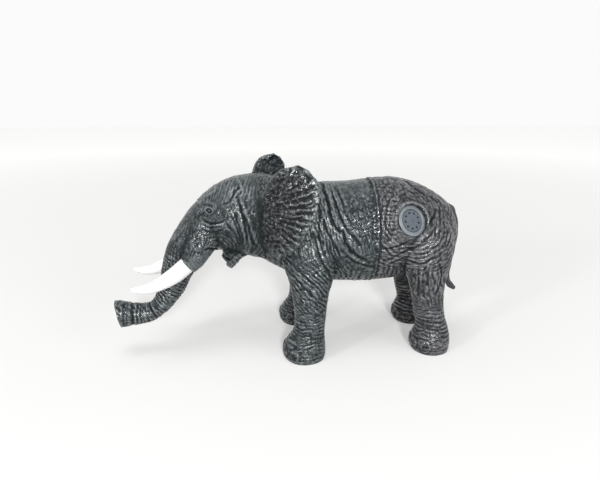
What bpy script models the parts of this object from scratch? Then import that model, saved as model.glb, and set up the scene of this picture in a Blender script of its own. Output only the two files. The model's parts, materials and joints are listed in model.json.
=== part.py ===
"""Toy elephant in soft vinyl, with a press-to-sound unit in its left hind flank.

Metres, +Z up. The animal faces -X and stands on Z = 0; its left flank is at -Y. The skin is cast in
two hollow halves that plug together at the waist, and the sound unit is turned about its own axis.
"""
import math

import bmesh
import bpy
import numpy as np
from mathutils import Matrix, Vector
from mathutils.kdtree import KDTree

# Body and skin
TORSO_LENGTH = 0.2035
CHEST_REACH = 0.048
BACK_HEIGHT = 0.168
TORSO_WIDTH = 0.098
WAIST_PLACE = 0.0685
SKIN_WALL = 0.0030
SKIN_GRAIN = 0.0017
WAIST_GAP = 0.0003
COLLAR_LENGTH = 0.0085
COLLAR_WALL = 0.0020
COLLAR_STEP = 0.0006
FIT_GAP = 0.0003
FILLING_GAP = 0.0018
CUT_OVERRUN = 0.0020

# Head and trunk
HEAD_LENGTH = 0.110
HEAD_START = 0.008
CROWN_HEIGHT = 0.172
HEAD_WIDTH = 0.077
TRUNK_REACH = 0.061
TRUNK_DROP = 0.091
TRUNK_WIDTH = 0.042
HEAD_TURN = math.radians(11.0)
NECK_PIVOT = 0.028
NECK_BEND_LENGTH = 0.050
JAW_DEPTH = 0.030
JAW_WIDTH = 0.034
LIP_SPACING = 0.019
LIP_DIAMETER = 0.013
CHEEK_DIAMETER = 0.026

# Ears
EAR_HEIGHT = 0.088
EAR_LENGTH = 0.048
EAR_THICKNESS = 0.0050
EAR_ROOT_SPREAD = 0.031
EAR_FLARE = 0.041
EAR_BOW = 0.003

# Relief of the skin
FOLD_DEPTH = 0.0014
FOLD_WIDTH = 0.0020
RIB_DEPTH = 0.0010
EYE_DIAMETER = 0.0060
EYE_SWELL = 0.0009

# Legs
WHEELBASE = 0.1265
FRONT_LEG_PLACE = 0.001
FRONT_LEG_SPACING = 0.082
HIND_LEG_SPACING = 0.069
FRONT_LEG_HEIGHT = 0.132
HIND_LEG_HEIGHT = 0.136
FRONT_FOOT_LENGTH = 0.041
HIND_FOOT_LENGTH = 0.041
FRONT_LEG_WIDTH = 0.038
HIND_LEG_WIDTH = 0.037
SHOULDER_DRAW_IN = 0.013
HIP_DRAW_IN = 0.011

# Tusks
TUSK_LENGTH = 0.056
TUSK_DIAMETER = 0.0150
TUSK_SPREAD = 0.041
TUSK_SPLAY = 0.0075

# Tail
TAIL_DROP = 0.088
TAIL_DIAMETER = 0.0048

# Sound unit: bezel and button, depths measured inwards from the bezel's outer face
UNIT_TURN = math.radians(21.0)
UNIT_TILT = math.radians(25.0)
UNIT_SINK = 0.0010
BEZEL_DIAMETER = 0.0284
BEZEL_FLANGE = 0.0014
BEZEL_CHAMFER = 0.0005
BEZEL_DISH = 0.0008
BEZEL_BORE = 0.0212
BEZEL_COUNTERBORE = 0.0228
BEZEL_BARREL = 0.0244
BEZEL_DEPTH = 0.0106
COUNTERBORE_START = 0.0042
BOSS_WALL = 0.0045
BOSS_DIAMETER = 0.040
BUTTON_FACE = 0.0016
BUTTON_RECESS = 0.0008
BUTTON_SKIRT_WALL = 0.0012
BUTTON_DEPTH = 0.0058
BUTTON_TRAVEL = 0.0010
BUTTON_HOLE = 0.0018
HOLE_CIRCLE = 0.0147
OUTER_HOLES = 9
PRONG_WIDTH = 0.0028
SEAT_THICKNESS = 0.0010
SEAT_BORE = 0.0182
SPRING_WIRE = 0.0006
SPRING_TURNS = 2

# Sound unit: speaker, switch, board, cells and housing
SPEAKER_PLACE = 0.0100
SPEAKER_DIAMETER = 0.0174
SPEAKER_DEPTH = 0.0038
SPEAKER_WALL = 0.0006
CONE_THICKNESS = 0.0005
CONE_DISH = 0.0012
MAGNET_DIAMETER = 0.0100
MAGNET_DEPTH = 0.0024
BOARD_PLACE = 0.0172
BOARD_DIAMETER = 0.0294
BOARD_THICKNESS = 0.0010
CHIP_DIAMETER = 0.0060
CHIP_HEIGHT = 0.0014
SWITCH_WIDTH = 0.0038
SWITCH_HEIGHT = 0.0026
PLUNGER_DIAMETER = 0.0016
PLUNGER_SHOW = 0.0014
PLUNGER_SUNK = 0.0007
CELL_DIAMETER = 0.0116
CELL_THICKNESS = 0.0054
CELL_WALL = 0.0010
CONTACT_THICKNESS = 0.0004
CONTACT_DIAMETER = 0.0240
CONTACT_HOLE = 0.0040
HOUSING_BORE = 0.0306
HOUSING_WALL = 0.0015
COVER_THICKNESS = 0.0016
LUG_DIAMETER = 0.0054
LUG_DEPTH = 0.0064
SCREW_DIAMETER = 0.0018
SCREW_HEAD = 0.0036
SCREW_HEAD_HEIGHT = 0.0012
SCREW_LENGTH = 0.0056
LEAD_DIAMETER = 0.0009
LEAD_SPACING = 0.0044

# Steps of the curves
LOFT_STEPS = 3
PEG_STEPS = 2
TORSO_SIDES = 40
LIMB_SIDES = 24
PEG_SIDES = 12
TURNED_STEPS = 28
SMALL_STEPS = 16
HOLE_STEPS = 12
MERGE_DISTANCE = 0.00001
SMOOTH_PASSES = 4
EAR_SAMPLES = 12
TURN_ROUNDS = 4
SKIN_FACES_SHARE = 0.052
CAVITY_FACES_SHARE = 0.016
FILLING_FACES_SHARE = 0.014

# Torso, chest to rump: place along it, top and bottom of BACK_HEIGHT, half width of TORSO_WIDTH / 2
TORSO_SHARES = (
    (0.00, 0.940, 0.600, 0.61), (0.06, 0.965, 0.520, 0.73), (0.135, 0.970, 0.464, 0.84),
    (0.23, 0.966, 0.417, 0.92), (0.34, 0.962, 0.387, 0.97), (0.45, 0.962, 0.378, 0.99),
    (0.56, 0.976, 0.375, 1.00), (0.665, 0.984, 0.384, 0.985), (0.76, 0.962, 0.405, 0.88),
    (0.84, 0.922, 0.430, 0.76), (0.903, 0.877, 0.460, 0.63), (0.952, 0.826, 0.500, 0.48),
    (0.986, 0.752, 0.548, 0.31), (1.00, 0.680, 0.605, 0.13),
)
# Head, neck to brow: top point and bottom point, along HEAD_LENGTH and up CROWN_HEIGHT, then half width
HEAD_SHARES = (
    (0.00, 0.945, 0.12, 0.500, 0.98), (0.18, 0.980, 0.27, 0.512, 1.00),
    (0.355, 0.990, 0.435, 0.545, 0.96), (0.53, 0.972, 0.58, 0.580, 0.88),
    (0.69, 0.918, 0.71, 0.580, 0.78), (0.865, 0.820, 0.775, 0.565, 0.67),
    (1.00, 0.709, 0.825, 0.520, 0.55),
)
# Trunk, brow to tip: front point and back point, along TRUNK_REACH and down TRUNK_DROP, then half width
TRUNK_SHARES = (
    (0.155, 0.175, -0.23, 0.47, 0.81), (0.245, 0.350, -0.15, 0.565, 0.69),
    (0.300, 0.515, -0.065, 0.670, 0.62), (0.375, 0.670, 0.06, 0.770, 0.57),
    (0.465, 0.760, 0.215, 0.875, 0.53), (0.590, 0.770, 0.43, 0.970, 0.50),
    (0.740, 0.750, 0.69, 0.995, 0.52), (0.885, 0.720, 0.85, 1.005, 0.57),
    (1.000, 0.705, 0.93, 1.005, 0.60),
)
# Jaw centre line: along HEAD_LENGTH, up CROWN_HEIGHT, diameter of JAW_DEPTH
JAW_SHARES = ((0.36, 0.660, 1.00), (0.482, 0.590, 0.84), (0.555, 0.545, 0.60), (0.605, 0.515, 0.34))
# Lip lobe: along HEAD_LENGTH, up CROWN_HEIGHT, out of LIP_SPACING / 2, diameter
LIP_SHARES = ((0.48, 0.580, 0.80, 1.00), (0.545, 0.525, 0.95, 0.85), (0.580, 0.487, 1.00, 0.50))
# Cheek: along HEAD_LENGTH, up CROWN_HEIGHT, out of TUSK_SPREAD / 2, diameter
CHEEK_SHARES = (
    (0.720, 0.740, 0.78, 1.10), (0.805, 0.650, 0.93, 1.00), (0.885, 0.568, 1.00, 0.80),
    (0.935, 0.540, 1.03, 0.69),
)
# Leg, sole to top: height, front and back edge of the foot's half length, half width, draw-in
FRONT_LEG_SHARES = (
    (-0.015, -0.86, 0.94, 1.02, 0.00), (0.03, -1.00, 1.00, 1.10, 0.00), (0.11, -0.93, 0.98, 1.04, 0.00),
    (0.20, -0.56, 0.95, 0.78, 0.00), (0.29, -0.46, 1.00, 0.76, 0.00), (0.39, -0.51, 1.04, 0.79, 0.00),
    (0.50, -0.61, 1.16, 0.87, 0.05), (0.61, -0.78, 1.36, 0.95, 0.18), (0.72, -1.02, 1.52, 1.03, 0.38),
    (0.86, -1.22, 1.50, 0.97, 0.70), (1.00, -0.83, 1.10, 0.63, 1.00),
)
HIND_LEG_SHARES = (
    (-0.015, -0.86, 0.80, 1.00, 0.00), (0.03, -0.98, 0.89, 1.08, 0.00), (0.11, -0.93, 0.87, 1.03, 0.00),
    (0.19, -0.78, 0.72, 0.78, 0.00), (0.294, -0.93, 0.52, 0.78, 0.00), (0.397, -1.07, 0.42, 0.80, 0.00),
    (0.50, -1.24, 0.44, 0.92, 0.05), (0.618, -1.58, 0.60, 1.06, 0.15), (0.735, -1.83, 0.74, 1.17, 0.38),
    (0.868, -1.78, 0.72, 1.08, 0.75), (1.00, -1.20, 0.38, 0.66, 1.40),
)
# Ear, top to bottom: root and edge along EAR_LENGTH and up EAR_HEIGHT, spread of the root, flare of the
# edge, thickness
EAR_START_SHARE = 0.382
EAR_FOOT_SHARE = 0.570
EAR_SHARES = (
    (0.420, 0.925, 0.776, 0.969, 1.42, 0.37, 0.60), (0.300, 0.860, 0.943, 0.912, 1.32, 0.51, 0.90),
    (0.190, 0.740, 1.063, 0.804, 1.16, 0.66, 1.00), (0.080, 0.570, 1.076, 0.657, 1.03, 0.76, 1.00),
    (0.030, 0.390, 0.993, 0.497, 1.00, 0.80, 1.00), (0.080, 0.210, 0.878, 0.356, 1.00, 0.76, 1.00),
    (0.220, 0.095, 0.725, 0.187, 1.06, 0.66, 0.90), (0.340, 0.040, 0.601, 0.092, 1.19, 0.54, 0.80),
    (0.400, 0.000, 0.464, -0.005, 1.30, 0.37, 0.50),
)
# Ribs of the ear: their number over half a turn, and the place they fan out from, as for EAR_SHARES
EAR_RIBS = 21
EAR_FAN_SHARES = (-0.04, 0.51)
# Folds as lines of the side view, each with its share of FOLD_DEPTH. Flank: along TORSO_LENGTH from the
# chest and up BACK_HEIGHT. Head: along HEAD_LENGTH and up CROWN_HEIGHT. Trunk: along TRUNK_REACH from
# the brow and down TRUNK_DROP
FLANK_FOLD_SHARES = (
    (1.00, ((0.324, 0.988), (0.339, 0.940), (0.349, 0.869), (0.359, 0.798), (0.388, 0.750), (0.408, 0.732),
            (0.418, 0.679), (0.452, 0.625), (0.496, 0.583), (0.540, 0.557))),
    (0.65, ((0.364, 0.946), (0.386, 0.845), (0.413, 0.768), (0.462, 0.696), (0.501, 0.643))),
    (0.65, ((0.285, 0.714), (0.295, 0.643), (0.315, 0.583), (0.344, 0.524), (0.354, 0.452), (0.344, 0.393))),
    (0.60, ((0.176, 0.524), (0.206, 0.476), (0.251, 0.423), (0.285, 0.381))),
    (0.65, ((0.590, 0.560), (0.654, 0.595), (0.722, 0.637), (0.776, 0.685), (0.830, 0.750))),
    (0.60, ((0.668, 0.548), (0.703, 0.512), (0.732, 0.452), (0.742, 0.393))),
)
HEAD_FOLD_SHARES = (
    (0.85, ((0.509, 0.907), (0.491, 0.843), (0.473, 0.773), (0.455, 0.709), (0.445, 0.651))),
    (0.65, ((0.573, 0.820), (0.545, 0.773), (0.518, 0.715), (0.500, 0.669), (0.518, 0.622))),
    (0.95, ((0.677, 0.599), (0.691, 0.616), (0.727, 0.634), (0.764, 0.640), (0.791, 0.628))),
)
TRUNK_FOLD_SHARES = ((0.80, ((0.769, 0.730), (0.746, 0.870), (0.722, 1.010))),)
EYE_PLACE_SHARES = (0.733, 0.830)
# Tusk centre line, root to tip: along it, down it, out of TUSK_SPLAY, diameter
TUSK_START_SHARE = 0.882
TUSK_HEIGHT_SHARE = 0.570
TUSK_SHARES = (
    (0.000, 0.000, 0.00, 0.85), (0.125, 0.096, 0.10, 1.00), (0.304, 0.227, 0.22, 0.98),
    (0.500, 0.325, 0.42, 0.84), (0.705, 0.390, 0.66, 0.66), (0.884, 0.388, 0.88, 0.44),
    (0.993, 0.363, 1.00, 0.16),
)
# Tail centre line, root to tuft: out from the rump and down it, both of TAIL_DROP, diameter
TAIL_START_SHARE = 0.798
TAIL_SHARES = (
    (-0.142, -0.045, 0.90), (-0.060, 0.001, 1.00), (-0.014, 0.097, 1.00), (0.018, 0.237, 1.00),
    (0.014, 0.384, 1.00), (0.000, 0.525, 0.95), (-0.015, 0.650, 0.90), (-0.027, 0.761, 0.90),
    (-0.022, 0.861, 1.00), (0.015, 0.932, 1.20), (0.072, 0.980, 0.75),
)
# Place of the sound unit: along TORSO_LENGTH and up BACK_HEIGHT
UNIT_PLACE_SHARE = 0.722
UNIT_HEIGHT_SHARE = 0.788


# Materials

def plastic(name, colour, roughness, metallic=0.0):
    """A Principled material of one colour."""
    made = bpy.data.materials.new(name)
    made.use_nodes = True
    shader = made.node_tree.nodes["Principled BSDF"]
    shader.inputs["Base Color"].default_value = (*colour, 1.0)
    shader.inputs["Roughness"].default_value = roughness
    shader.inputs["Metallic"].default_value = metallic
    made.diffuse_color = (*colour, 1.0)
    return made


def collection(name):
    """A new collection in the scene."""
    made = bpy.data.collections.new(name)
    bpy.context.scene.collection.children.link(made)
    return made


def object_from(name, mesh, owner, material=None, parent=None):
    """An object of a mesh, in a collection, with its material and its parent."""
    made = bpy.data.objects.new(name, mesh)
    owner.objects.link(made)
    if material:
        mesh.materials.clear()
        mesh.materials.append(material)
    made.parent = parent
    return made


def as_cutter(made):
    """Mark an object as one that only cuts, joins or guides."""
    made.hide_render = True
    made.display_type = "WIRE"
    return made


# Modifiers

def settle(made):
    """Turn what an object's modifiers make into its mesh."""
    bpy.context.view_layer.update()
    graph = bpy.context.evaluated_depsgraph_get()
    mesh = bpy.data.meshes.new_from_object(made.evaluated_get(graph))
    made.modifiers.clear()
    made.data = mesh
    return made


def combine(made, other, operation):
    """Cut, join or keep with another object, and settle the result."""
    step = made.modifiers.new(operation.lower(), "BOOLEAN")
    step.operation = operation
    step.solver = "EXACT"
    step.object = other
    return settle(made)


def cut(made, *others):
    for other in others:
        combine(made, other, "DIFFERENCE")
    return made


def join(made, *others):
    for other in others:
        combine(made, other, "UNION")
    return made


def keep(made, other):
    return combine(made, other, "INTERSECT")


# Lofts

def smooth_rows(rows, between):
    """Rows of a table, with more of them read off the Catmull-Rom curve through them."""
    rows = np.array(rows, dtype=float)
    padded = np.vstack([2 * rows[0] - rows[1], rows, 2 * rows[-1] - rows[-2]])
    dense = []
    for start in range(len(rows) - 1):
        a, b, c, d = padded[start:start + 4]
        for step in range(between):
            t = step / between
            dense.append(0.5 * (2 * b + (c - a) * t + (2 * a - 5 * b + 4 * c - d) * t ** 2
                                + (3 * b - a - 3 * c + d) * t ** 3))
    dense.append(rows[-1])
    return np.array(dense)


def loft_rings(fronts, backs, sides, count, bow=0.0):
    """Ellipses that span front to back and side to side, one for each row."""
    angle = np.linspace(0.0, 2 * math.pi, count, endpoint=False)
    across, along = np.sin(angle), np.cos(angle)
    centre, reach = (fronts + backs) / 2, (fronts - backs) / 2
    width = np.linalg.norm(sides, axis=1, keepdims=True)
    outward = sides / np.maximum(width, np.finfo(float).tiny)
    rings = centre[:, None] + reach[:, None] * along[None, :, None] + sides[:, None] * across[None, :, None]
    return rings + bow * outward[:, None] * (1 - along ** 2)[None, :, None]


def inset_rows(fronts, backs, sides, inset):
    """Rows drawn in by a wall, from two walls past the start to one wall before the end.

    Rows that are too thin to be hollow are left out.
    """
    centre = (fronts + backs) / 2
    step = np.linalg.norm(np.diff(centre, axis=0), axis=1)
    place = np.concatenate([[0.0], np.cumsum(step)])
    start, end = 2 * inset, place[-1] - inset
    at = np.concatenate([[start], place[(place > start) & (place < end)], [end]])
    centre, reach, sides = (np.stack([np.interp(at, place, column) for column in rows.T], axis=1)
                            for rows in (centre, (fronts - backs) / 2, sides))
    height, width = np.linalg.norm(reach, axis=1), np.linalg.norm(sides, axis=1)
    hollow = (height > 2 * inset) & (width > 2 * inset)
    reach = (reach * (1 - inset / height)[:, None])[hollow]
    sides = (sides * (1 - inset / width)[:, None])[hollow]
    return centre[hollow] + reach, centre[hollow] - reach, sides


def tube_rows(path, diameters, first_side=(0.0, 1.0, 0.0)):
    """Rows of a round tube along a path, square to it."""
    tangent = np.gradient(path, axis=0)
    tangent /= np.linalg.norm(tangent, axis=1, keepdims=True)
    side = np.array(first_side) - tangent * (tangent @ np.array(first_side))[:, None]
    side /= np.linalg.norm(side, axis=1, keepdims=True)
    up = np.cross(side, tangent)
    radius = (diameters / 2)[:, None]
    return path + up * radius, path - up * radius, side * radius


def mesh_of_rings(name, ring_sets):
    """One mesh of closed lofts, each with flat ends."""
    vertices, faces = [], []
    for rings in ring_sets:
        rows, count = rings.shape[:2]
        base = len(vertices)
        vertices.extend(rings.reshape(-1, 3).tolist())
        for row in range(rows - 1):
            for place in range(count):
                here, beside = base + row * count + place, base + row * count + (place + 1) % count
                faces.append((here, beside, beside + count, here + count))
        faces.append(tuple(range(base + count - 1, base - 1, -1)))
        faces.append(tuple(range(base + (rows - 1) * count, base + rows * count)))
    mesh = bpy.data.meshes.new(name)
    mesh.from_pydata(vertices, [], faces)
    return outward(mesh)


def outward(mesh):
    """Point a closed mesh's faces outwards."""
    shape = bmesh.new()
    shape.from_mesh(mesh)
    bmesh.ops.recalc_face_normals(shape, faces=shape.faces)
    shape.to_mesh(mesh)
    shape.free()
    return mesh


# Forms of the animal, as rows of fronts, backs and sides

def ease(value, start, end):
    """0 before the start, 1 after the end and a smooth rise between."""
    share = np.clip((value - start) / (end - start), 0.0, 1.0)
    return share ** 2 * (3 - 2 * share)


def head_turned(points, rigid=False, way=1):
    """Turn points of the head to its left, or back, about an upright axis in the neck."""
    share = np.ones_like(points[..., 0]) if rigid else ease(-points[..., 0], 0.0, NECK_BEND_LENGTH)
    angle = way * HEAD_TURN * share
    across, along = points[..., 1], points[..., 0] + NECK_PIVOT
    turned = points.copy()
    turned[..., 0] = along * np.cos(angle) - across * np.sin(angle) - NECK_PIVOT
    turned[..., 1] = along * np.sin(angle) + across * np.cos(angle)
    return turned


def flat_rows(front_x, front_z, back_x, back_z, half_width, middle_y=0.0):
    """Rows of a form whose fronts and backs lie in an upright plane along the body."""
    level = np.zeros_like(front_x) + middle_y
    fronts = np.stack([front_x, level, front_z], axis=1)
    backs = np.stack([back_x, level, back_z], axis=1)
    sides = np.stack([np.zeros_like(front_x), half_width, np.zeros_like(front_x)], axis=1)
    return fronts, backs, sides


def torso_table():
    """Place, top, bottom and half width along the torso, in metres."""
    rows = smooth_rows(TORSO_SHARES, LOFT_STEPS)
    place = rows[:, 0] * TORSO_LENGTH - CHEST_REACH
    return place, rows[:, 1] * BACK_HEIGHT, rows[:, 2] * BACK_HEIGHT, rows[:, 3] * TORSO_WIDTH / 2


def torso_rows():
    place, top, bottom, half_width = torso_table()
    return flat_rows(place, top, place, bottom, half_width)


def head_point(along_share, height_share):
    """A point of the unturned head, from the start of the neck and from the ground."""
    return -HEAD_START - along_share * HEAD_LENGTH, height_share * CROWN_HEIGHT


def head_rows(with_trunk=True):
    """Head and trunk in one form, from the neck over the brow to the trunk's tip."""
    head = np.array(HEAD_SHARES)
    top_x, top_z = head_point(head[:, 0], head[:, 1])
    low_x, low_z = head_point(head[:, 2], head[:, 3])
    trunk = np.array(TRUNK_SHARES)
    top_x = np.append(top_x, top_x[-1] - trunk[:, 0] * TRUNK_REACH)
    low_x = np.append(low_x, top_x[len(head) - 1] - trunk[:, 2] * TRUNK_REACH)
    drop_from = top_z[-1]
    top_z = np.append(top_z, drop_from - trunk[:, 1] * TRUNK_DROP)
    low_z = np.append(low_z, drop_from - trunk[:, 3] * TRUNK_DROP)
    half = np.append(head[:, 4] * HEAD_WIDTH / 2, trunk[:, 4] * TRUNK_WIDTH / 2)
    dense = smooth_rows(np.stack([top_x, top_z, low_x, low_z, half], axis=1), LOFT_STEPS)
    if not with_trunk:
        dense = dense[:(len(head) - 1) * LOFT_STEPS + 1]
    return flat_rows(*dense.T)


def jaw_rows():
    rows = smooth_rows(JAW_SHARES, LOFT_STEPS)
    x, z = head_point(rows[:, 0], rows[:, 1])
    path = np.stack([x, np.zeros_like(x), z], axis=1)
    fronts, backs, sides = tube_rows(path, rows[:, 2] * JAW_DEPTH)
    return fronts, backs, sides * JAW_WIDTH / JAW_DEPTH


def lip_rows(side):
    rows = smooth_rows(LIP_SHARES, LOFT_STEPS)
    x, z = head_point(rows[:, 0], rows[:, 1])
    path = np.stack([x, side * rows[:, 2] * LIP_SPACING / 2, z], axis=1)
    return tube_rows(path, rows[:, 3] * LIP_DIAMETER)


def cheek_rows(side):
    rows = smooth_rows(CHEEK_SHARES, LOFT_STEPS)
    x, z = head_point(rows[:, 0], rows[:, 1])
    path = np.stack([x, side * rows[:, 2] * TUSK_SPREAD / 2, z], axis=1)
    return tube_rows(path, rows[:, 3] * CHEEK_DIAMETER)


def leg_rows(shares, place, spacing, height, foot, width, draw_in, side):
    rows = smooth_rows(shares, LOFT_STEPS)
    level = rows[:, 0] * height
    middle = side * (spacing / 2 - rows[:, 4] * draw_in)
    return flat_rows(place + rows[:, 1] * foot / 2, level, place + rows[:, 2] * foot / 2, level,
                     rows[:, 3] * width / 2, middle)


def front_leg_rows(side):
    return leg_rows(FRONT_LEG_SHARES, FRONT_LEG_PLACE, FRONT_LEG_SPACING, FRONT_LEG_HEIGHT,
                    FRONT_FOOT_LENGTH, FRONT_LEG_WIDTH, SHOULDER_DRAW_IN, side)


def hind_leg_rows(side):
    return leg_rows(HIND_LEG_SHARES, FRONT_LEG_PLACE + WHEELBASE, HIND_LEG_SPACING, HIND_LEG_HEIGHT,
                    HIND_FOOT_LENGTH, HIND_LEG_WIDTH, HIP_DRAW_IN, side)


def ear_rows(side):
    """Ear as thin ellipses from its root to its edge, top to bottom."""
    rows = smooth_rows(EAR_SHARES, LOFT_STEPS)
    start_x, start_z = head_point(EAR_START_SHARE, EAR_FOOT_SHARE)
    root = np.stack([start_x + rows[:, 0] * EAR_LENGTH, side * rows[:, 4] * EAR_ROOT_SPREAD,
                     start_z + rows[:, 1] * EAR_HEIGHT], axis=1)
    edge = np.stack([start_x + rows[:, 2] * EAR_LENGTH, side * (EAR_ROOT_SPREAD + rows[:, 5] * EAR_FLARE),
                     start_z + rows[:, 3] * EAR_HEIGHT], axis=1)
    down = np.gradient((root + edge) / 2, axis=0)
    across = np.cross(edge - root, down)
    across /= np.linalg.norm(across, axis=1, keepdims=True)
    across *= np.sign(across[:, 1] * side)[:, None]
    return edge, root, across * (rows[:, 6] * EAR_THICKNESS / 2)[:, None]


def tusk_rows(side, growth=0.0):
    rows = smooth_rows(TUSK_SHARES, PEG_STEPS)
    start_x, start_z = head_point(TUSK_START_SHARE, TUSK_HEIGHT_SHARE)
    path = np.stack([start_x - rows[:, 0] * TUSK_LENGTH,
                     side * (TUSK_SPREAD / 2 + rows[:, 2] * TUSK_SPLAY),
                     start_z - rows[:, 1] * TUSK_LENGTH], axis=1)
    return tube_rows(path, rows[:, 3] * TUSK_DIAMETER + 2 * growth)


def tail_rows(growth=0.0):
    rows = smooth_rows(TAIL_SHARES, PEG_STEPS)
    path = np.stack([TORSO_LENGTH - CHEST_REACH + rows[:, 0] * TAIL_DROP, np.zeros(len(rows)),
                     TAIL_START_SHARE * BACK_HEIGHT - rows[:, 1] * TAIL_DROP], axis=1)
    return tube_rows(path, rows[:, 2] * TAIL_DIAMETER + 2 * growth)


def animal_rings(inset=0.0, with_limbs=True):
    """Rings of the whole animal, or of a space inside it, drawn in from the skin's outer face."""
    def drawn(rows, count, turned=False):
        rows = inset_rows(*rows, inset) if inset else rows
        rings = loft_rings(*rows, count)
        return head_turned(rings) if turned else rings

    sets = [drawn(torso_rows(), TORSO_SIDES), drawn(head_rows(with_limbs), TORSO_SIDES, True)]
    if with_limbs:
        sets.append(drawn(jaw_rows(), LIMB_SIDES, True))
        for side in (-1, 1):
            sets.append(drawn(front_leg_rows(side), LIMB_SIDES))
            sets.append(drawn(hind_leg_rows(side), LIMB_SIDES))
            sets.append(drawn(cheek_rows(side), LIMB_SIDES, True))
    if not inset:
        for side in (-1, 1):
            sets.append(drawn(lip_rows(side), LIMB_SIDES, True))
            ear = loft_rings(*ear_rows(side), LIMB_SIDES, EAR_BOW)
            sets.append(head_turned(ear, rigid=True))
    return sets


# Relief of the skin

def flank_point(along_share, height_share):
    """A point of the side view, from the chest and from the ground."""
    return along_share * TORSO_LENGTH - CHEST_REACH, height_share * BACK_HEIGHT


def trunk_point(along_share, drop_share):
    """A point of the side view, from the brow forwards and down."""
    brow_x, brow_z = head_point(*HEAD_SHARES[-1][:2])
    return brow_x - along_share * TRUNK_REACH, brow_z - drop_share * TRUNK_DROP


def line_distance(points, line):
    """Distance of points of the side view from a bent line, and their share of the way along it."""
    steps = np.diff(line, axis=0)
    lengths = np.linalg.norm(steps, axis=1)
    before = np.concatenate([[0.0], np.cumsum(lengths)])
    nearest, place = np.full(len(points), np.inf), np.zeros(len(points))
    for start, step, length, passed in zip(line, steps, lengths, before):
        share = np.clip((points - start) @ step / length ** 2, 0.0, 1.0)
        distance = np.linalg.norm(points - start - share[:, None] * step, axis=1)
        place = np.where(distance < nearest, passed + share * length, place)
        nearest = np.minimum(nearest, distance)
    return nearest, place / before[-1]


def fold_depth(points, folds, point_of):
    """Depth of folds drawn as lines of the side view, fading towards both ends."""
    depth = np.zeros(len(points))
    for depth_share, shares in folds:
        line = np.stack(point_of(*np.array(shares).T), axis=1)
        distance, place = line_distance(points[:, [0, 2]], line)
        amount = depth_share * (1 - (2 * place - 1) ** 4) * np.exp(-(distance / FOLD_WIDTH) ** 2)
        depth = np.maximum(depth, FOLD_DEPTH * amount)
    return depth


def ear_sheet(side):
    """Samples of the middle of an ear, and how far each lies from its root to its edge."""
    edge, root, thick = ear_rows(side)
    across = np.linspace(0.0, 1.0, EAR_SAMPLES)
    outward_way = thick / np.linalg.norm(thick, axis=1, keepdims=True)
    bowed = EAR_BOW * outward_way[:, None] * (1 - (2 * across - 1) ** 2)[None, :, None]
    sheet = root[:, None] + (edge - root)[:, None] * across[None, :, None] + bowed
    return head_turned(sheet, rigid=True).reshape(-1, 3), np.tile(across, len(edge))


def rib_depth(points):
    """Depth of the valleys between the ribs that fan out over each ear, towards its edge."""
    sheets = [ear_sheet(side) for side in (-1, 1)]
    samples = np.concatenate([sheet for sheet, _ in sheets])
    across = np.concatenate([share for _, share in sheets])
    tree = KDTree(len(samples))
    for number, sample in enumerate(samples):
        tree.insert(sample, number)
    tree.balance()
    start_x, start_z = head_point(EAR_START_SHARE, EAR_FOOT_SHARE)
    near = np.flatnonzero((np.abs(points[:, 1]) > EAR_ROOT_SPREAD / 2)
                          & (points[:, 2] > start_z - EAR_THICKNESS))
    found = [tree.find(point) for point in points[near]]
    away = np.array([distance for _, _, distance in found]) / EAR_THICKNESS
    inside = 1 - ease(away, 0.8, 1.2)
    outer = ease(across[[number for _, number, _ in found]], 0.25, 0.6)
    straight = head_turned(points[near], rigid=True, way=-1)
    fan = np.arctan2(straight[:, 2] - start_z - EAR_FAN_SHARES[1] * EAR_HEIGHT,
                     straight[:, 0] - start_x - EAR_FAN_SHARES[0] * EAR_LENGTH) / math.pi
    depth = np.zeros(len(points))
    depth[near] = RIB_DEPTH * inside * outer * np.cos(math.pi * EAR_RIBS * fan) ** 2
    return depth


def turned_back(points):
    """Points of the turned head where they were before the turn, found in a few rounds."""
    straight = points
    for _ in range(TURN_ROUNDS):
        share = ease(-straight[:, 0], 0.0, NECK_BEND_LENGTH)
        straight = head_turned(points, rigid=True, way=-share)
    return straight


def skin_depth(points):
    """Depth of all folds and ribs, less the swell of the eyes."""
    straight = turned_back(points)
    eye_x, eye_z = head_point(*EYE_PLACE_SHARES)
    from_eye = np.hypot(straight[:, 0] - eye_x, straight[:, 2] - eye_z) / (EYE_DIAMETER / 2)
    eye = EYE_SWELL * np.sqrt(np.clip(1 - from_eye ** 2, 0.0, 1.0))
    return (fold_depth(points, FLANK_FOLD_SHARES, flank_point)
            + fold_depth(straight, HEAD_FOLD_SHARES, head_point)
            + fold_depth(straight, TRUNK_FOLD_SHARES, trunk_point) + rib_depth(points) - eye)


def vertex_values(mesh, what):
    """A vector of each vertex of a mesh, such as its place or its normal."""
    values = np.empty(len(mesh.vertices) * 3, dtype=np.float32)
    mesh.vertices.foreach_get(what, values)
    return values.reshape(-1, 3).astype(float)


def melted(name, ring_sets, owner, faces_share, depth_of=None):
    """One closed skin round several lofts: remeshed, smoothed, folded and thinned."""
    made = object_from(name, mesh_of_rings(name, ring_sets), owner)
    remesh = made.modifiers.new("one skin", "REMESH")
    remesh.mode = "VOXEL"
    remesh.voxel_size = SKIN_GRAIN
    smooth = made.modifiers.new("soft joins", "SMOOTH")
    smooth.factor = 0.5
    smooth.iterations = SMOOTH_PASSES
    settle(made)
    if depth_of:
        points, normals = (vertex_values(made.data, what) for what in ("co", "normal"))
        pressed = points - normals * depth_of(points)[:, None]
        made.data.vertices.foreach_set("co", pressed.ravel())
        made.data.update()
    thin = made.modifiers.new("fewer faces", "DECIMATE")
    thin.ratio = faces_share
    thin.use_collapse_triangulate = True
    return as_cutter(settle(made))


# Shapes in the frame of the sound unit: depth runs inwards from the bezel's outer face

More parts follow.
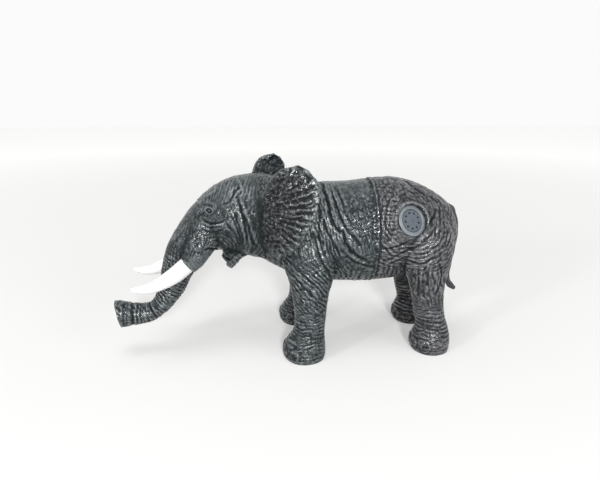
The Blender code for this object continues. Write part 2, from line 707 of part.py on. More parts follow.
def turned(name, profile, owner, material=None, parent=None, steps=TURNED_STEPS):
    """A shape turned about the unit's axis from points of radius and depth, outer side first."""
    mesh = bpy.data.meshes.new(name)
    closed = profile[0][0] > 0
    links = [(place, place + 1) for place in range(len(profile) - 1)]
    if closed:
        links.append((len(profile) - 1, 0))
    mesh.from_pydata([(radius, 0.0, -depth) for radius, depth in profile], links, [])
    made = object_from(name, mesh, owner, None, parent)
    screw = made.modifiers.new("turn", "SCREW")
    screw.steps = screw.render_steps = steps
    screw.use_merge_vertices = True
    screw.merge_threshold = MERGE_DISTANCE / 10
    settle(made)
    outward(made.data)
    if material:
        made.data.materials.append(material)
    return made


def rod(name, radius, start, end, centre, owner, material=None, parent=None, steps=SMALL_STEPS):
    """A round rod along the unit's axis, between two depths, at a place beside the axis."""
    shape = bmesh.new()
    bmesh.ops.create_cone(shape, cap_ends=True, segments=steps, radius1=radius, radius2=radius,
                          depth=abs(end - start),
                          matrix=Matrix.Translation((centre[0], centre[1], -(start + end) / 2)))
    mesh = bpy.data.meshes.new(name)
    shape.to_mesh(mesh)
    shape.free()
    return object_from(name, mesh, owner, material, parent)


def block(name, low, high, owner, material=None, parent=None):
    """A box between two corners."""
    shape = bmesh.new()
    size = [b - a for a, b in zip(low, high)]
    middle = [(a + b) / 2 for a, b in zip(low, high)]
    bmesh.ops.create_cube(shape, size=1.0, matrix=Matrix.Translation(middle) @ Matrix.Diagonal((*size, 1.0)))
    mesh = bpy.data.meshes.new(name)
    shape.to_mesh(mesh)
    shape.free()
    return object_from(name, mesh, owner, material, parent)


def polar(radius, angle):
    return radius * math.cos(angle), radius * math.sin(angle)


# Build: skin

def waist_box(name, side, owner):
    """A box over the front (-1) or the rear (1) of the animal, half the waist gap from the waist."""
    far = side * (TORSO_LENGTH + HEAD_LENGTH + TRUNK_REACH)
    near = WAIST_PLACE + side * WAIST_GAP / 2
    reach = BACK_HEIGHT + CROWN_HEIGHT
    return as_cutter(block(name, (min(near, far), -reach, 0.0), (max(near, far), reach, reach), owner))


def torso_slice(name, start, end, inset, owner):
    """A slice of the torso's form between two places, drawn in by an inset."""
    place, top, bottom, half_width = torso_table()
    at = np.linspace(start, end, LOFT_STEPS)
    rows = [np.interp(at, place, column) for column in (top, bottom, half_width)]
    fronts, backs, sides = flat_rows(at, rows[0] - inset, at, rows[1] + inset, rows[2] - inset)
    return as_cutter(object_from(name, mesh_of_rings(name, [loft_rings(fronts, backs, sides, TORSO_SIDES)]),
                                 owner))


def collar(owner):
    """Spigot of the rear skin that plugs into the front one, and the seat it needs there."""
    start, end = WAIST_PLACE - COLLAR_LENGTH, WAIST_PLACE + COLLAR_LENGTH
    outer = SKIN_WALL - COLLAR_STEP
    neck = torso_slice("collar neck", start, WAIST_PLACE + SKIN_WALL, outer, owner)
    root = torso_slice("collar root", WAIST_PLACE + WAIST_GAP, end, SKIN_WALL / 2, owner)
    bore = torso_slice("collar bore", start - CUT_OVERRUN, end + CUT_OVERRUN, outer + COLLAR_WALL, owner)
    seat = torso_slice("collar seat", start - FIT_GAP, WAIST_PLACE + SKIN_WALL, outer - FIT_GAP, owner)
    cut(join(neck, root), bore)
    return neck, seat


def unit_axes():
    """Place and turn of the sound unit: its own +Z points out of the flank."""
    place, top, bottom, half_width = torso_table()
    at_x = UNIT_PLACE_SHARE * TORSO_LENGTH - CHEST_REACH
    at_z = UNIT_HEIGHT_SHARE * BACK_HEIGHT
    high, low, half = (np.interp(at_x, place, column) for column in (top, bottom, half_width))
    rise = (at_z - (high + low) / 2) / ((high - low) / 2)
    at_y = -half * math.sqrt(1 - rise ** 2)
    turn, tilt = UNIT_TURN, UNIT_TILT
    out = Vector((math.sin(turn) * math.cos(tilt), -math.cos(turn) * math.cos(tilt), math.sin(tilt)))
    level = Vector((math.cos(turn), math.sin(turn), 0.0))
    up = out.cross(level)
    frame = Matrix((level, up, out)).transposed().to_4x4()
    frame.translation = Vector((at_x, at_y, at_z)) - out * UNIT_SINK
    return frame


def socket(name, rows, owner, in_head=False):
    """A cutter that leaves room for a pegged piece."""
    rings = loft_rings(*rows, PEG_SIDES)
    rings = head_turned(rings) if in_head else rings
    return as_cutter(object_from(name, mesh_of_rings(name, [rings]), owner))


def build_skins(parts, cutters, unit, skin_look, rear_look):
    """Front and rear skins with their wall, collar, sockets and the seat of the sound unit."""
    seat_depth = BEZEL_FLANGE + FIT_GAP
    boss_depth = seat_depth + BOSS_WALL
    animal = melted("animal form", animal_rings(), cutters, SKIN_FACES_SHARE, skin_depth)
    hollow = melted("animal hollow", animal_rings(SKIN_WALL), cutters, CAVITY_FACES_SHARE)
    boss = as_cutter(rod("unit boss", BOSS_DIAMETER / 2, -BOSS_DIAMETER / 2, boss_depth, (0, 0), cutters,
                         parent=unit, steps=TURNED_STEPS))
    cut(hollow, boss)
    front_box = waist_box("front of waist", -1, cutters)
    rear_box = waist_box("rear of waist", 1, cutters)
    neck, seat = collar(cutters)

    front = object_from("front_shell", animal.data.copy(), parts, skin_look)
    cut(keep(front, front_box), hollow, seat)
    for side, name in ((-1, "left"), (1, "right")):
        cut(front, socket(name + " tusk socket", tusk_rows(side, FIT_GAP), cutters, True))

    rear = object_from("rear_shell", animal.data.copy(), parts, rear_look)
    cut(keep(rear, rear_box), hollow)
    join(rear, neck)
    mouth = as_cutter(rod("bezel recess", BEZEL_DIAMETER / 2 + FIT_GAP, -BOSS_DIAMETER / 2, seat_depth,
                          (0, 0), cutters, parent=unit, steps=TURNED_STEPS))
    bore = as_cutter(rod("barrel hole", BEZEL_BARREL / 2 + FIT_GAP, 0.0, boss_depth + CUT_OVERRUN,
                         (0, 0), cutters, parent=unit, steps=TURNED_STEPS))
    room = as_cutter(rod("housing room", HOUSING_BORE / 2 + HOUSING_WALL + FIT_GAP, boss_depth,
                         cover_end() + FIT_GAP, (0, 0), cutters, parent=unit, steps=TURNED_STEPS))
    cut(rear, mouth, bore, room, socket("tail socket", tail_rows(FIT_GAP), cutters))
    return front_box, rear_box


def build_fillings(parts, cutters, unit, front_box, rear_box, look):
    """Fibre filling of the body and the head, clear of the skin, the sockets and the sound unit."""
    drawn = SKIN_WALL + FILLING_GAP
    form = melted("filling form", animal_rings(drawn, with_limbs=False), cutters, FILLING_FACES_SHARE)
    band = SKIN_WALL - COLLAR_STEP + COLLAR_WALL + FIT_GAP
    reach = COLLAR_LENGTH + FIT_GAP
    ring = torso_slice("collar band", WAIST_PLACE - reach, WAIST_PLACE + reach, -SKIN_WALL, cutters)
    cut(ring, torso_slice("collar core", WAIST_PLACE - reach - CUT_OVERRUN,
                          WAIST_PLACE + reach + CUT_OVERRUN, band, cutters))
    front = object_from("front_filling", form.data.copy(), parts, look)
    cut(keep(front, front_box), ring)
    for side, name in ((-1, "left"), (1, "right")):
        cut(front, socket(name + " tusk room", tusk_rows(side, FIT_GAP), cutters, True))
    rear = object_from("rear_filling", form.data.copy(), parts, look)
    cut(keep(rear, rear_box), ring, socket("tail room", tail_rows(FIT_GAP), cutters))
    room = as_cutter(rod("unit room", lug_radius() + LUG_DIAMETER / 2 + FIT_GAP, -BOSS_DIAMETER / 2,
                         cover_end() + SCREW_HEAD_HEIGHT + 2 * FIT_GAP, (0, 0), cutters, parent=unit,
                         steps=TURNED_STEPS))
    cut(front, room)
    cut(rear, room)


def build_tusks_and_tail(parts, tusk_look, tail_look):
    for side, name in ((-1, "tusk_left"), (1, "tusk_right")):
        rings = head_turned(loft_rings(*tusk_rows(side), PEG_SIDES))
        object_from(name, mesh_of_rings(name, [rings]), parts, tusk_look)
    rings = loft_rings(*tail_rows(), PEG_SIDES)
    object_from("tail", mesh_of_rings("tail", [rings]), parts, tail_look)


# Build: sound unit

def plunger_top():
    return BOARD_PLACE - FIT_GAP - SWITCH_HEIGHT - PLUNGER_SHOW


def contact_start():
    return BOARD_PLACE + BOARD_THICKNESS + FIT_GAP


def cells_start():
    return contact_start() + CONTACT_THICKNESS + FIT_GAP


def cells_end():
    return cells_start() + CELL_THICKNESS


def cover_start():
    return cells_end() + CONTACT_THICKNESS + 3 * FIT_GAP


def cover_end():
    return cover_start() + COVER_THICKNESS


def lug_radius():
    return HOUSING_BORE / 2 + HOUSING_WALL + LUG_DIAMETER / 3


def prong_reach():
    """Radii between which the button's prong runs, outside the spring and inside the counterbore."""
    return spring_radius() + SPRING_WIRE / 2 + FIT_GAP, BEZEL_COUNTERBORE / 2 - FIT_GAP


def spring_radius():
    return BEZEL_BORE / 2 - FIT_GAP - BUTTON_SKIRT_WALL / 2


def build_bezel(parts, unit, look):
    flange, bore = BEZEL_DIAMETER / 2, BEZEL_BORE / 2
    barrel, step = BEZEL_BARREL / 2, BEZEL_COUNTERBORE / 2
    turned("bezel_ring", [
        (flange - BEZEL_CHAMFER, 0.0), (flange, BEZEL_CHAMFER), (flange, BEZEL_FLANGE),
        (barrel, BEZEL_FLANGE), (barrel, BEZEL_DEPTH), (step, BEZEL_DEPTH),
        (step, COUNTERBORE_START), (bore, COUNTERBORE_START), (bore, BEZEL_DISH),
    ], parts, look, unit)


def build_button(parts, cutters, unit, look):
    """Grille disc with a skirt, a lip that holds it in the bezel and a prong to the switch."""
    outer = BEZEL_BORE / 2 - FIT_GAP
    inner = outer - BUTTON_SKIRT_WALL
    lip = BEZEL_COUNTERBORE / 2 - FIT_GAP
    back = BUTTON_RECESS + BUTTON_FACE
    lip_start = COUNTERBORE_START + FIT_GAP
    button = turned("grille_button", [
        (0.0, BUTTON_RECESS), (outer - BEZEL_CHAMFER, BUTTON_RECESS), (outer, BUTTON_RECESS + BEZEL_CHAMFER),
        (outer, lip_start), (lip, lip_start), (lip, BUTTON_DEPTH), (inner, BUTTON_DEPTH), (inner, back),
        (0.0, back),
    ], parts, look, unit)
    low, high = prong_reach()
    prong = as_cutter(block("prong", (-PRONG_WIDTH / 2, low, -(plunger_top() - FIT_GAP)),
                            (PRONG_WIDTH / 2, high - MERGE_DISTANCE, -(lip_start + MERGE_DISTANCE)),
                            cutters, parent=unit))
    join(button, prong)
    for place in range(OUTER_HOLES + 1):
        spot = (0.0, 0.0) if place == OUTER_HOLES else polar(HOLE_CIRCLE / 2,
                                                              2 * math.pi * (place + 0.5) / OUTER_HOLES)
        drill = rod("grille hole", BUTTON_HOLE / 2, BUTTON_RECESS - CUT_OVERRUN, back + CUT_OVERRUN / 2,
                    spot, cutters, parent=unit, steps=HOLE_STEPS)
        cut(button, as_cutter(drill))


def build_spring_and_seat(parts, cutters, unit, seat_look, steel):
    outer = BEZEL_COUNTERBORE / 2 - FIT_GAP
    top = BEZEL_DEPTH - SEAT_THICKNESS
    seat = turned("spring_seat", [
        (outer, top), (outer, BEZEL_DEPTH), (SEAT_BORE / 2, BEZEL_DEPTH), (SEAT_BORE / 2, top),
    ], parts, seat_look, unit)
    low, high = prong_reach()
    notch = block("prong notch", (-PRONG_WIDTH / 2 - FIT_GAP, low - FIT_GAP, -BEZEL_DEPTH - CUT_OVERRUN),
                  (PRONG_WIDTH / 2 + FIT_GAP, high + CUT_OVERRUN, -top + CUT_OVERRUN), cutters, parent=unit)
    cut(seat, as_cutter(notch))
    start = BUTTON_DEPTH + FIT_GAP + SPRING_WIRE / 2
    end = top - FIT_GAP - SPRING_WIRE / 2
    coil(parts, unit, "return_spring", spring_radius(), start, end, steel)


def coil(parts, unit, name, radius, start, end, look):
    """A round wire wound about the unit's axis between two depths."""
    count = SPRING_TURNS * SMALL_STEPS
    turns = np.linspace(0.0, SPRING_TURNS * 2 * math.pi, count + 1)
    depth = np.linspace(start, end, count + 1)
    points = [(radius * math.cos(a), radius * math.sin(a), -d) for a, d in zip(turns, depth)]
    return wire(name, points, SPRING_WIRE, parts, look, unit)


def wire(name, points, diameter, parts, look, parent):
    """A round wire along points, as a mesh with closed ends."""
    curve = bpy.data.curves.new(name, "CURVE")
    curve.dimensions = "3D"
    curve.bevel_depth = diameter / 2
    curve.bevel_resolution = 1
    curve.use_fill_caps = True
    line = curve.splines.new("POLY")
    line.points.add(len(points) - 1)
    for point, place in zip(line.points, points):
        point.co = (*place, 1.0)
    drawn = bpy.data.objects.new(name + " path", curve)
    parts.objects.link(drawn)
    bpy.context.view_layer.update()
    mesh = bpy.data.meshes.new_from_object(drawn.evaluated_get(bpy.context.evaluated_depsgraph_get()))
    bpy.data.objects.remove(drawn)
    shape = bmesh.new()
    shape.from_mesh(mesh)
    bmesh.ops.remove_doubles(shape, verts=shape.verts, dist=MERGE_DISTANCE)
    bmesh.ops.recalc_face_normals(shape, faces=shape.faces)
    shape.to_mesh(mesh)
    shape.free()
    return object_from(name, mesh, parts, look, parent)


def build_speaker(parts, unit, frame_look, magnet_look, cone_look):
    outer, start = SPEAKER_DIAMETER / 2, SPEAKER_PLACE
    inner, end = outer - SPEAKER_WALL, SPEAKER_PLACE + SPEAKER_DEPTH
    throat = MAGNET_DIAMETER / 2
    turned("speaker_frame", [
        (0.0, end - SPEAKER_WALL), (throat, end - SPEAKER_WALL), (inner, start + SPEAKER_DEPTH / 2),
        (inner, start), (outer, start), (outer, start + SPEAKER_DEPTH / 2), (throat + SPEAKER_WALL, end),
        (0.0, end),
    ], parts, frame_look, unit)
    rim, rest = inner - FIT_GAP, start + FIT_GAP
    turned("speaker_cone", [
        (0.0, rest + CONE_DISH), (throat / 2, rest + CONE_DISH), (rim - SPEAKER_WALL, rest), (rim, rest),
        (rim, rest + CONE_THICKNESS), (rim - SPEAKER_WALL, rest + CONE_THICKNESS),
        (throat / 2, rest + CONE_DISH + CONE_THICKNESS), (0.0, rest + CONE_DISH + CONE_THICKNESS),
    ], parts, cone_look, unit)
    rod("speaker_magnet", throat, end + FIT_GAP, end + FIT_GAP + MAGNET_DEPTH, (0, 0), parts, magnet_look,
        unit, TURNED_STEPS)


def build_board(parts, cutters, unit, looks):
    """Board with the sound chip, the switch under the prong and the leads from the speaker."""
    face = BOARD_PLACE
    rod("circuit_board", BOARD_DIAMETER / 2, face, face + BOARD_THICKNESS, (0, 0), parts, looks["board"],
        unit, TURNED_STEPS)
    beside = (MAGNET_DIAMETER + BOARD_DIAMETER) / 4
    chip = turned("sound_chip", [
        (0.0, -CHIP_HEIGHT), (CHIP_DIAMETER / 4, -CHIP_HEIGHT), (CHIP_DIAMETER / 2, -CHIP_HEIGHT / 3),
        (CHIP_DIAMETER / 2, 0.0), (0.0, 0.0),
    ], parts, looks["chip"], unit, SMALL_STEPS)
    chip.data.transform(Matrix.Translation((0.0, -beside, -(face - FIT_GAP))))
    low, high = prong_reach()
    middle = (low + high) / 2
    top = face - FIT_GAP - SWITCH_HEIGHT
    body = block("switch_body", (-SWITCH_WIDTH / 2, middle - SWITCH_WIDTH / 2, -(face - FIT_GAP)),
                 (SWITCH_WIDTH / 2, middle + SWITCH_WIDTH / 2, -top), parts, looks["chip"], unit)
    hole_end = top + PLUNGER_SUNK + BUTTON_TRAVEL + FIT_GAP
    cut(body, as_cutter(rod("plunger hole", PLUNGER_DIAMETER / 2 + FIT_GAP, top - CUT_OVERRUN, hole_end,
                            (0.0, middle), cutters, parent=unit, steps=SMALL_STEPS)))
    rod("switch_plunger", PLUNGER_DIAMETER / 2, plunger_top(), top + PLUNGER_SUNK, (0.0, middle), parts,
        looks["plunger"], unit)
    start = SPEAKER_PLACE + SPEAKER_DEPTH / 2
    for side, name in ((-1, "speaker_lead_red"), (1, "speaker_lead_black")):
        across = side * LEAD_SPACING / 2
        near = math.sqrt((SPEAKER_DIAMETER / 2 + FIT_GAP + LEAD_DIAMETER) ** 2 - across ** 2)
        far = near + 2 * LEAD_DIAMETER
        foot = -(face - FIT_GAP)
        points = [(near, across, -start), ((near + far) / 2, across, -start - LEAD_DIAMETER / 2),
                  (far, across, -start - 2 * LEAD_DIAMETER), (far, across, foot + LEAD_DIAMETER),
                  (far, across, foot)]
        wire(name, points, LEAD_DIAMETER, parts, looks[name], unit)


def build_power(parts, cutters, unit, looks):
    """Three button cells in their tray between two contact plates."""
    circle = (CELL_DIAMETER + 2 * FIT_GAP + CELL_WALL) / math.sqrt(3)
    start, end = cells_start(), cells_end()
    tray = rod("cell_tray", HOUSING_BORE / 2 - FIT_GAP, start, end, (0, 0), parts, looks["tray"], unit,
               TURNED_STEPS)
    for place in range(3):
        spot = polar(circle, 2 * math.pi * place / 3 + math.pi / 2)
        well = rod("cell well", CELL_DIAMETER / 2 + FIT_GAP, start - CUT_OVERRUN, end + CUT_OVERRUN, spot,
                   cutters, parent=unit, steps=TURNED_STEPS)
        cut(tray, as_cutter(well))
        rod("button_cell_%d" % (place + 1), CELL_DIAMETER / 2, start, end, spot, parts, looks["cell"], unit,
            TURNED_STEPS)
    for name, depth in (("front_contact", contact_start()), ("rear_contact", end + FIT_GAP)):
        turned(name, [
            (CONTACT_DIAMETER / 2, depth), (CONTACT_DIAMETER / 2, depth + CONTACT_THICKNESS),
            (CONTACT_HOLE / 2, depth + CONTACT_THICKNESS), (CONTACT_HOLE / 2, depth),
        ], parts, looks["contact"], unit)


def build_housing(parts, cutters, unit, look, steel):
    """Cup behind the skin, its cover and the two screws through their lugs."""
    outer, inner = HOUSING_BORE / 2 + HOUSING_WALL, HOUSING_BORE / 2
    start = BEZEL_FLANGE + BOSS_WALL + 2 * FIT_GAP
    end = cover_start() - FIT_GAP
    neck = BEZEL_BARREL / 2 + FIT_GAP
    housing = turned("unit_housing", [
        (outer, start), (outer, end), (inner, end), (inner, start + HOUSING_WALL),
        (neck, start + HOUSING_WALL), (neck, start),
    ], parts, look, unit)
    cover = rod("housing_cover", outer, cover_start(), cover_end(), (0, 0), parts, look, unit, TURNED_STEPS)
    hole = SCREW_DIAMETER / 2 + FIT_GAP
    for side in (-1, 1):
        spot = (0.0, side * lug_radius())
        join(housing, as_cutter(rod("housing lug", LUG_DIAMETER / 2, end - LUG_DEPTH, end, spot, cutters,
                                    parent=unit)))
        join(cover, as_cutter(rod("cover lug", LUG_DIAMETER / 2, cover_start(), cover_end(), spot, cutters,
                                  parent=unit)))
    for side, name in ((-1, "cover_screw_1"), (1, "cover_screw_2")):
        spot = (0.0, side * lug_radius())
        head = cover_end() + FIT_GAP
        tip = head - SCREW_LENGTH
        room = as_cutter(rod("screw room", hole, tip - FIT_GAP, cover_end() + CUT_OVERRUN, spot, cutters,
                             parent=unit))
        cut(housing, room)
        cut(cover, room)
        screw = turned(name, [
            (0.0, tip), (SCREW_DIAMETER / 2, tip), (SCREW_DIAMETER / 2, head), (SCREW_HEAD / 2, head),
            (SCREW_HEAD / 2, head + SCREW_HEAD_HEIGHT), (0.0, head + SCREW_HEAD_HEIGHT),
        ], parts, steel, unit, HOLE_STEPS)
        screw.data.transform(Matrix.Translation((*spot, 0.0)))


def stand_on_origin(parts):
    """Move everything so that the middle of the animal's footprint is the origin, its soles at Z = 0."""
    bpy.context.view_layer.update()
    corners = np.array([made.matrix_world @ Vector(corner) for made in parts.objects if made.type == "MESH"
                        for corner in made.bound_box])
    low, high = corners.min(axis=0), corners.max(axis=0)
    middle = Vector(((low[0] + high[0]) / 2, (low[1] + high[1]) / 2, low[2]))
    for made in bpy.data.objects:
        if made.parent is None:
            made.location -= middle
    bpy.context.view_layer.update()


def main():
    for old in list(bpy.data.objects):
        bpy.data.objects.remove(old)
    parts, cutters = collection("toy_elephant"), collection("cutters")
    front_look = plastic("grey-green vinyl", (0.105, 0.122, 0.126), 0.45)
    rear_look = plastic("grey vinyl", (0.130, 0.130, 0.138), 0.45)
    white = plastic("white tusk vinyl", (0.87, 0.87, 0.85), 0.35)
    bezel_grey = plastic("bezel grey", (0.255, 0.300, 0.330), 0.40)
    button_grey = plastic("button grey", (0.150, 0.180, 0.215), 0.42)
    fibre = plastic("white fibre", (0.80, 0.80, 0.78), 0.95)
    steel = plastic("steel", (0.60, 0.60, 0.62), 0.30, 1.0)
    black = plastic("black plastic", (0.03, 0.03, 0.03), 0.45)
    looks = {
        "board": plastic("board green", (0.03, 0.20, 0.09), 0.45), "chip": black,
        "plunger": plastic("plunger red", (0.45, 0.05, 0.04), 0.45), "tray": black,
        "cell": plastic("cell steel", (0.70, 0.70, 0.70), 0.25, 1.0),
        "contact": plastic("contact brass", (0.72, 0.55, 0.25), 0.30, 1.0),
        "speaker_lead_red": plastic("lead red", (0.50, 0.03, 0.03), 0.50),
        "speaker_lead_black": plastic("lead black", (0.02, 0.02, 0.02), 0.50),
    }
    unit = bpy.data.objects.new("sound unit", None)
    parts.objects.link(unit)
    unit.matrix_world = unit_axes()
    bpy.context.view_layer.update()

    front_box, rear_box = build_skins(parts, cutters, unit, front_look, rear_look)
    build_fillings(parts, cutters, unit, front_box, rear_box, fibre)
    build_tusks_and_tail(parts, white, rear_look)
    build_bezel(parts, unit, bezel_grey)
    build_button(parts, cutters, unit, button_grey)
    build_spring_and_seat(parts, cutters, unit, black, steel)
    build_speaker(parts, unit, black, steel, plastic("cone paper", (0.10, 0.10, 0.10), 0.80))
    build_board(parts, cutters, unit, looks)
    build_power(parts, cutters, unit, looks)
    build_housing(parts, cutters, unit, black, steel)
    stand_on_origin(parts)


main()
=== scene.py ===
# %% [markdown]
# # Toy elephant in soft vinyl
# This lesson dresses the plain solids of a toy elephant. The real toy is cast in soft grey vinyl in
# two halves, with deep skin folds in the mould, white tusks, a rope-like tail and a round sound unit
# with a grille in its flank. The solids come first, because every piece has to sit on them.
# %% Load the solids
import json
import math

import bmesh
import bpy
import numpy as np
from mathutils import Matrix, Vector


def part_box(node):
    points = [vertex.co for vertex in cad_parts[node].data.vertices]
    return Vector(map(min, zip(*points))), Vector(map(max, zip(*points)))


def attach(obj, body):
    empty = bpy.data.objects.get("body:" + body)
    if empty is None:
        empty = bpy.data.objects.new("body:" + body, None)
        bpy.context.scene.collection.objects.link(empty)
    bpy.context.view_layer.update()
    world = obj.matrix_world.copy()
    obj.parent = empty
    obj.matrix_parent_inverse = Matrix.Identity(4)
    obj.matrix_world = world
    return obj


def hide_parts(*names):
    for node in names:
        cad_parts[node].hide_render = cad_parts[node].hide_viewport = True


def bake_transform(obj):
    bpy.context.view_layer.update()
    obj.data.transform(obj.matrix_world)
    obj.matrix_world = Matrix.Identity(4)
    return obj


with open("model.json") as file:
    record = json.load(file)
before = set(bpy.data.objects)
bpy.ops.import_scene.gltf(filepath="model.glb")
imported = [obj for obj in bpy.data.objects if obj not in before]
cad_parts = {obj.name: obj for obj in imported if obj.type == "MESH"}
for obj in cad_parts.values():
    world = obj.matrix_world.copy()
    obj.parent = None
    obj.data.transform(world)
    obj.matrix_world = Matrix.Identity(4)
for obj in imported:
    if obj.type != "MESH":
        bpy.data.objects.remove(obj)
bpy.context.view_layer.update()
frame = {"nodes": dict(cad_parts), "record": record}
MM = 0.001

# %% [markdown]
# ## Sizes of the animal
# The skin grows from the same few sizes as the solids: torso, head, trunk, ears and legs. The solids
# were moved so that the middle of the footprint is the origin, and this step reads that move back
# from two faces whose places are known: the waist face of the front half, and the tail, which hangs
# in the animal's middle.
# %% Sizes and place
TORSO_LENGTH = 0.2035
CHEST_REACH = 0.048
BACK_HEIGHT = 0.168
TORSO_WIDTH = 0.098
WAIST_PLACE = 0.0685
WAIST_GAP = 0.0003
SKIN_WALL = 0.0030
HEAD_LENGTH = 0.110
HEAD_START = 0.008
CROWN_HEIGHT = 0.172
HEAD_WIDTH = 0.077
TRUNK_REACH = 0.061
TRUNK_DROP = 0.091
TRUNK_WIDTH = 0.042
HEAD_TURN = math.radians(11.0)
NECK_PIVOT = 0.028
NECK_BEND_LENGTH = 0.050
JAW_DEPTH, JAW_WIDTH = 0.030, 0.034
LIP_SPACING, LIP_DIAMETER = 0.019, 0.013
CHEEK_DIAMETER = 0.026
EAR_HEIGHT, EAR_LENGTH, EAR_THICKNESS = 0.088, 0.048, 0.0050
EAR_ROOT_SPREAD, EAR_FLARE, EAR_BOW = 0.031, 0.041, 0.003
WHEELBASE, FRONT_LEG_PLACE = 0.1265, 0.001
FRONT_LEG_SPACING, HIND_LEG_SPACING = 0.082, 0.069
FRONT_LEG_HEIGHT, HIND_LEG_HEIGHT = 0.132, 0.136
FOOT_LENGTH = 0.041
FRONT_LEG_WIDTH, HIND_LEG_WIDTH = 0.038, 0.037
SHOULDER_DRAW_IN, HIP_DRAW_IN = 0.013, 0.011
TUSK_LENGTH, TUSK_DIAMETER = 0.056, 0.0150
TUSK_SPREAD, TUSK_SPLAY = 0.041, 0.0075
TAIL_DROP, TAIL_DIAMETER = 0.088, 0.0048
FIT_GAP = 0.0003

tail_low, tail_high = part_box("tail")
shift = np.array([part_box("front_shell")[1].x - WAIST_PLACE + WAIST_GAP / 2, (tail_low.y + tail_high.y) / 2, 0.0])
print("move of the solids in mm:", np.round(shift / MM, 2))

# %% [markdown]
# ## Tables of the forms
# Each form is a row of ellipses, and each row says where the ellipse's front and back points lie and
# how wide it is, as shares of the sizes above. The tables are the ones that the solids were drawn
# with, so the fine skin lies on the plain one.
# %% Tables of shares
# Torso: place, top, bottom, half width
TORSO_SHARES = (
    (0.00, 0.940, 0.600, 0.61), (0.06, 0.965, 0.520, 0.73), (0.135, 0.970, 0.464, 0.84),
    (0.23, 0.966, 0.417, 0.92), (0.34, 0.962, 0.387, 0.97), (0.45, 0.962, 0.378, 0.99),
    (0.56, 0.976, 0.375, 1.00), (0.665, 0.984, 0.384, 0.985), (0.76, 0.962, 0.405, 0.88),
    (0.84, 0.922, 0.430, 0.76), (0.903, 0.877, 0.460, 0.63), (0.952, 0.826, 0.500, 0.48),
    (0.986, 0.752, 0.548, 0.31), (1.00, 0.680, 0.605, 0.13),
)
# Head: top point and bottom point, along and up, then half width
HEAD_SHARES = (
    (0.00, 0.945, 0.12, 0.500, 0.98), (0.18, 0.980, 0.27, 0.512, 1.00),
    (0.355, 0.990, 0.435, 0.545, 0.96), (0.53, 0.972, 0.58, 0.580, 0.88),
    (0.69, 0.918, 0.71, 0.580, 0.78), (0.865, 0.820, 0.775, 0.565, 0.67),
    (1.00, 0.709, 0.825, 0.520, 0.55),
)
# Trunk: front point and back point, along and down, then half width
TRUNK_SHARES = (
    (0.155, 0.175, -0.23, 0.47, 0.81), (0.245, 0.350, -0.15, 0.565, 0.69),
    (0.300, 0.515, -0.065, 0.670, 0.62), (0.375, 0.670, 0.06, 0.770, 0.57),
    (0.465, 0.760, 0.215, 0.875, 0.53), (0.590, 0.770, 0.43, 0.970, 0.50),
    (0.740, 0.750, 0.69, 0.995, 0.52), (0.885, 0.720, 0.85, 1.005, 0.57),
    (1.000, 0.705, 0.93, 1.005, 0.60),
)
# Jaw: along, up, diameter
JAW_SHARES = ((0.36, 0.660, 1.00), (0.482, 0.590, 0.84), (0.555, 0.545, 0.60), (0.605, 0.515, 0.34))
# Lip and cheek: along, up, out, diameter
LIP_SHARES = ((0.48, 0.580, 0.80, 1.00), (0.545, 0.525, 0.95, 0.85), (0.580, 0.487, 1.00, 0.50))
CHEEK_SHARES = (
    (0.720, 0.740, 0.78, 1.10), (0.805, 0.650, 0.93, 1.00), (0.885, 0.568, 1.00, 0.80),
    (0.935, 0.540, 1.03, 0.69),
)
# Leg: height, front edge, back edge, half width, draw-in
FRONT_LEG_SHARES = (
    (-0.015, -0.86, 0.94, 1.02, 0.00), (0.03, -1.00, 1.00, 1.10, 0.00), (0.11, -0.93, 0.98, 1.04, 0.00),
    (0.20, -0.56, 0.95, 0.78, 0.00), (0.29, -0.46, 1.00, 0.76, 0.00), (0.39, -0.51, 1.04, 0.79, 0.00),
    (0.50, -0.61, 1.16, 0.87, 0.05), (0.61, -0.78, 1.36, 0.95, 0.18), (0.72, -1.02, 1.52, 1.03, 0.38),
    (0.86, -1.22, 1.50, 0.97, 0.70), (1.00, -0.83, 1.10, 0.63, 1.00),
)
HIND_LEG_SHARES = (
    (-0.015, -0.86, 0.80, 1.00, 0.00), (0.03, -0.98, 0.89, 1.08, 0.00), (0.11, -0.93, 0.87, 1.03, 0.00),
    (0.19, -0.78, 0.72, 0.78, 0.00), (0.294, -0.93, 0.52, 0.78, 0.00), (0.397, -1.07, 0.42, 0.80, 0.00),
    (0.50, -1.24, 0.44, 0.92, 0.05), (0.618, -1.58, 0.60, 1.06, 0.15), (0.735, -1.83, 0.74, 1.17, 0.38),
    (0.868, -1.78, 0.72, 1.08, 0.75), (1.00, -1.20, 0.38, 0.66, 1.40),
)
# Ear: root and edge, along and up, then spread of the root, flare of the edge, thickness
EAR_START_SHARE, EAR_FOOT_SHARE = 0.382, 0.570
EAR_SHARES = (
    (0.420, 0.925, 0.776, 0.969, 1.42, 0.37, 0.60), (0.300, 0.860, 0.943, 0.912, 1.32, 0.51, 0.90),
    (0.190, 0.740, 1.063, 0.804, 1.16, 0.66, 1.00), (0.080, 0.570, 1.076, 0.657, 1.03, 0.76, 1.00),
    (0.030, 0.390, 0.993, 0.497, 1.00, 0.80, 1.00), (0.080, 0.210, 0.878, 0.356, 1.00, 0.76, 1.00),
    (0.220, 0.095, 0.725, 0.187, 1.06, 0.66, 0.90), (0.340, 0.040, 0.601, 0.092, 1.19, 0.54, 0.80),
    (0.400, 0.000, 0.464, -0.005, 1.30, 0.37, 0.50),
)
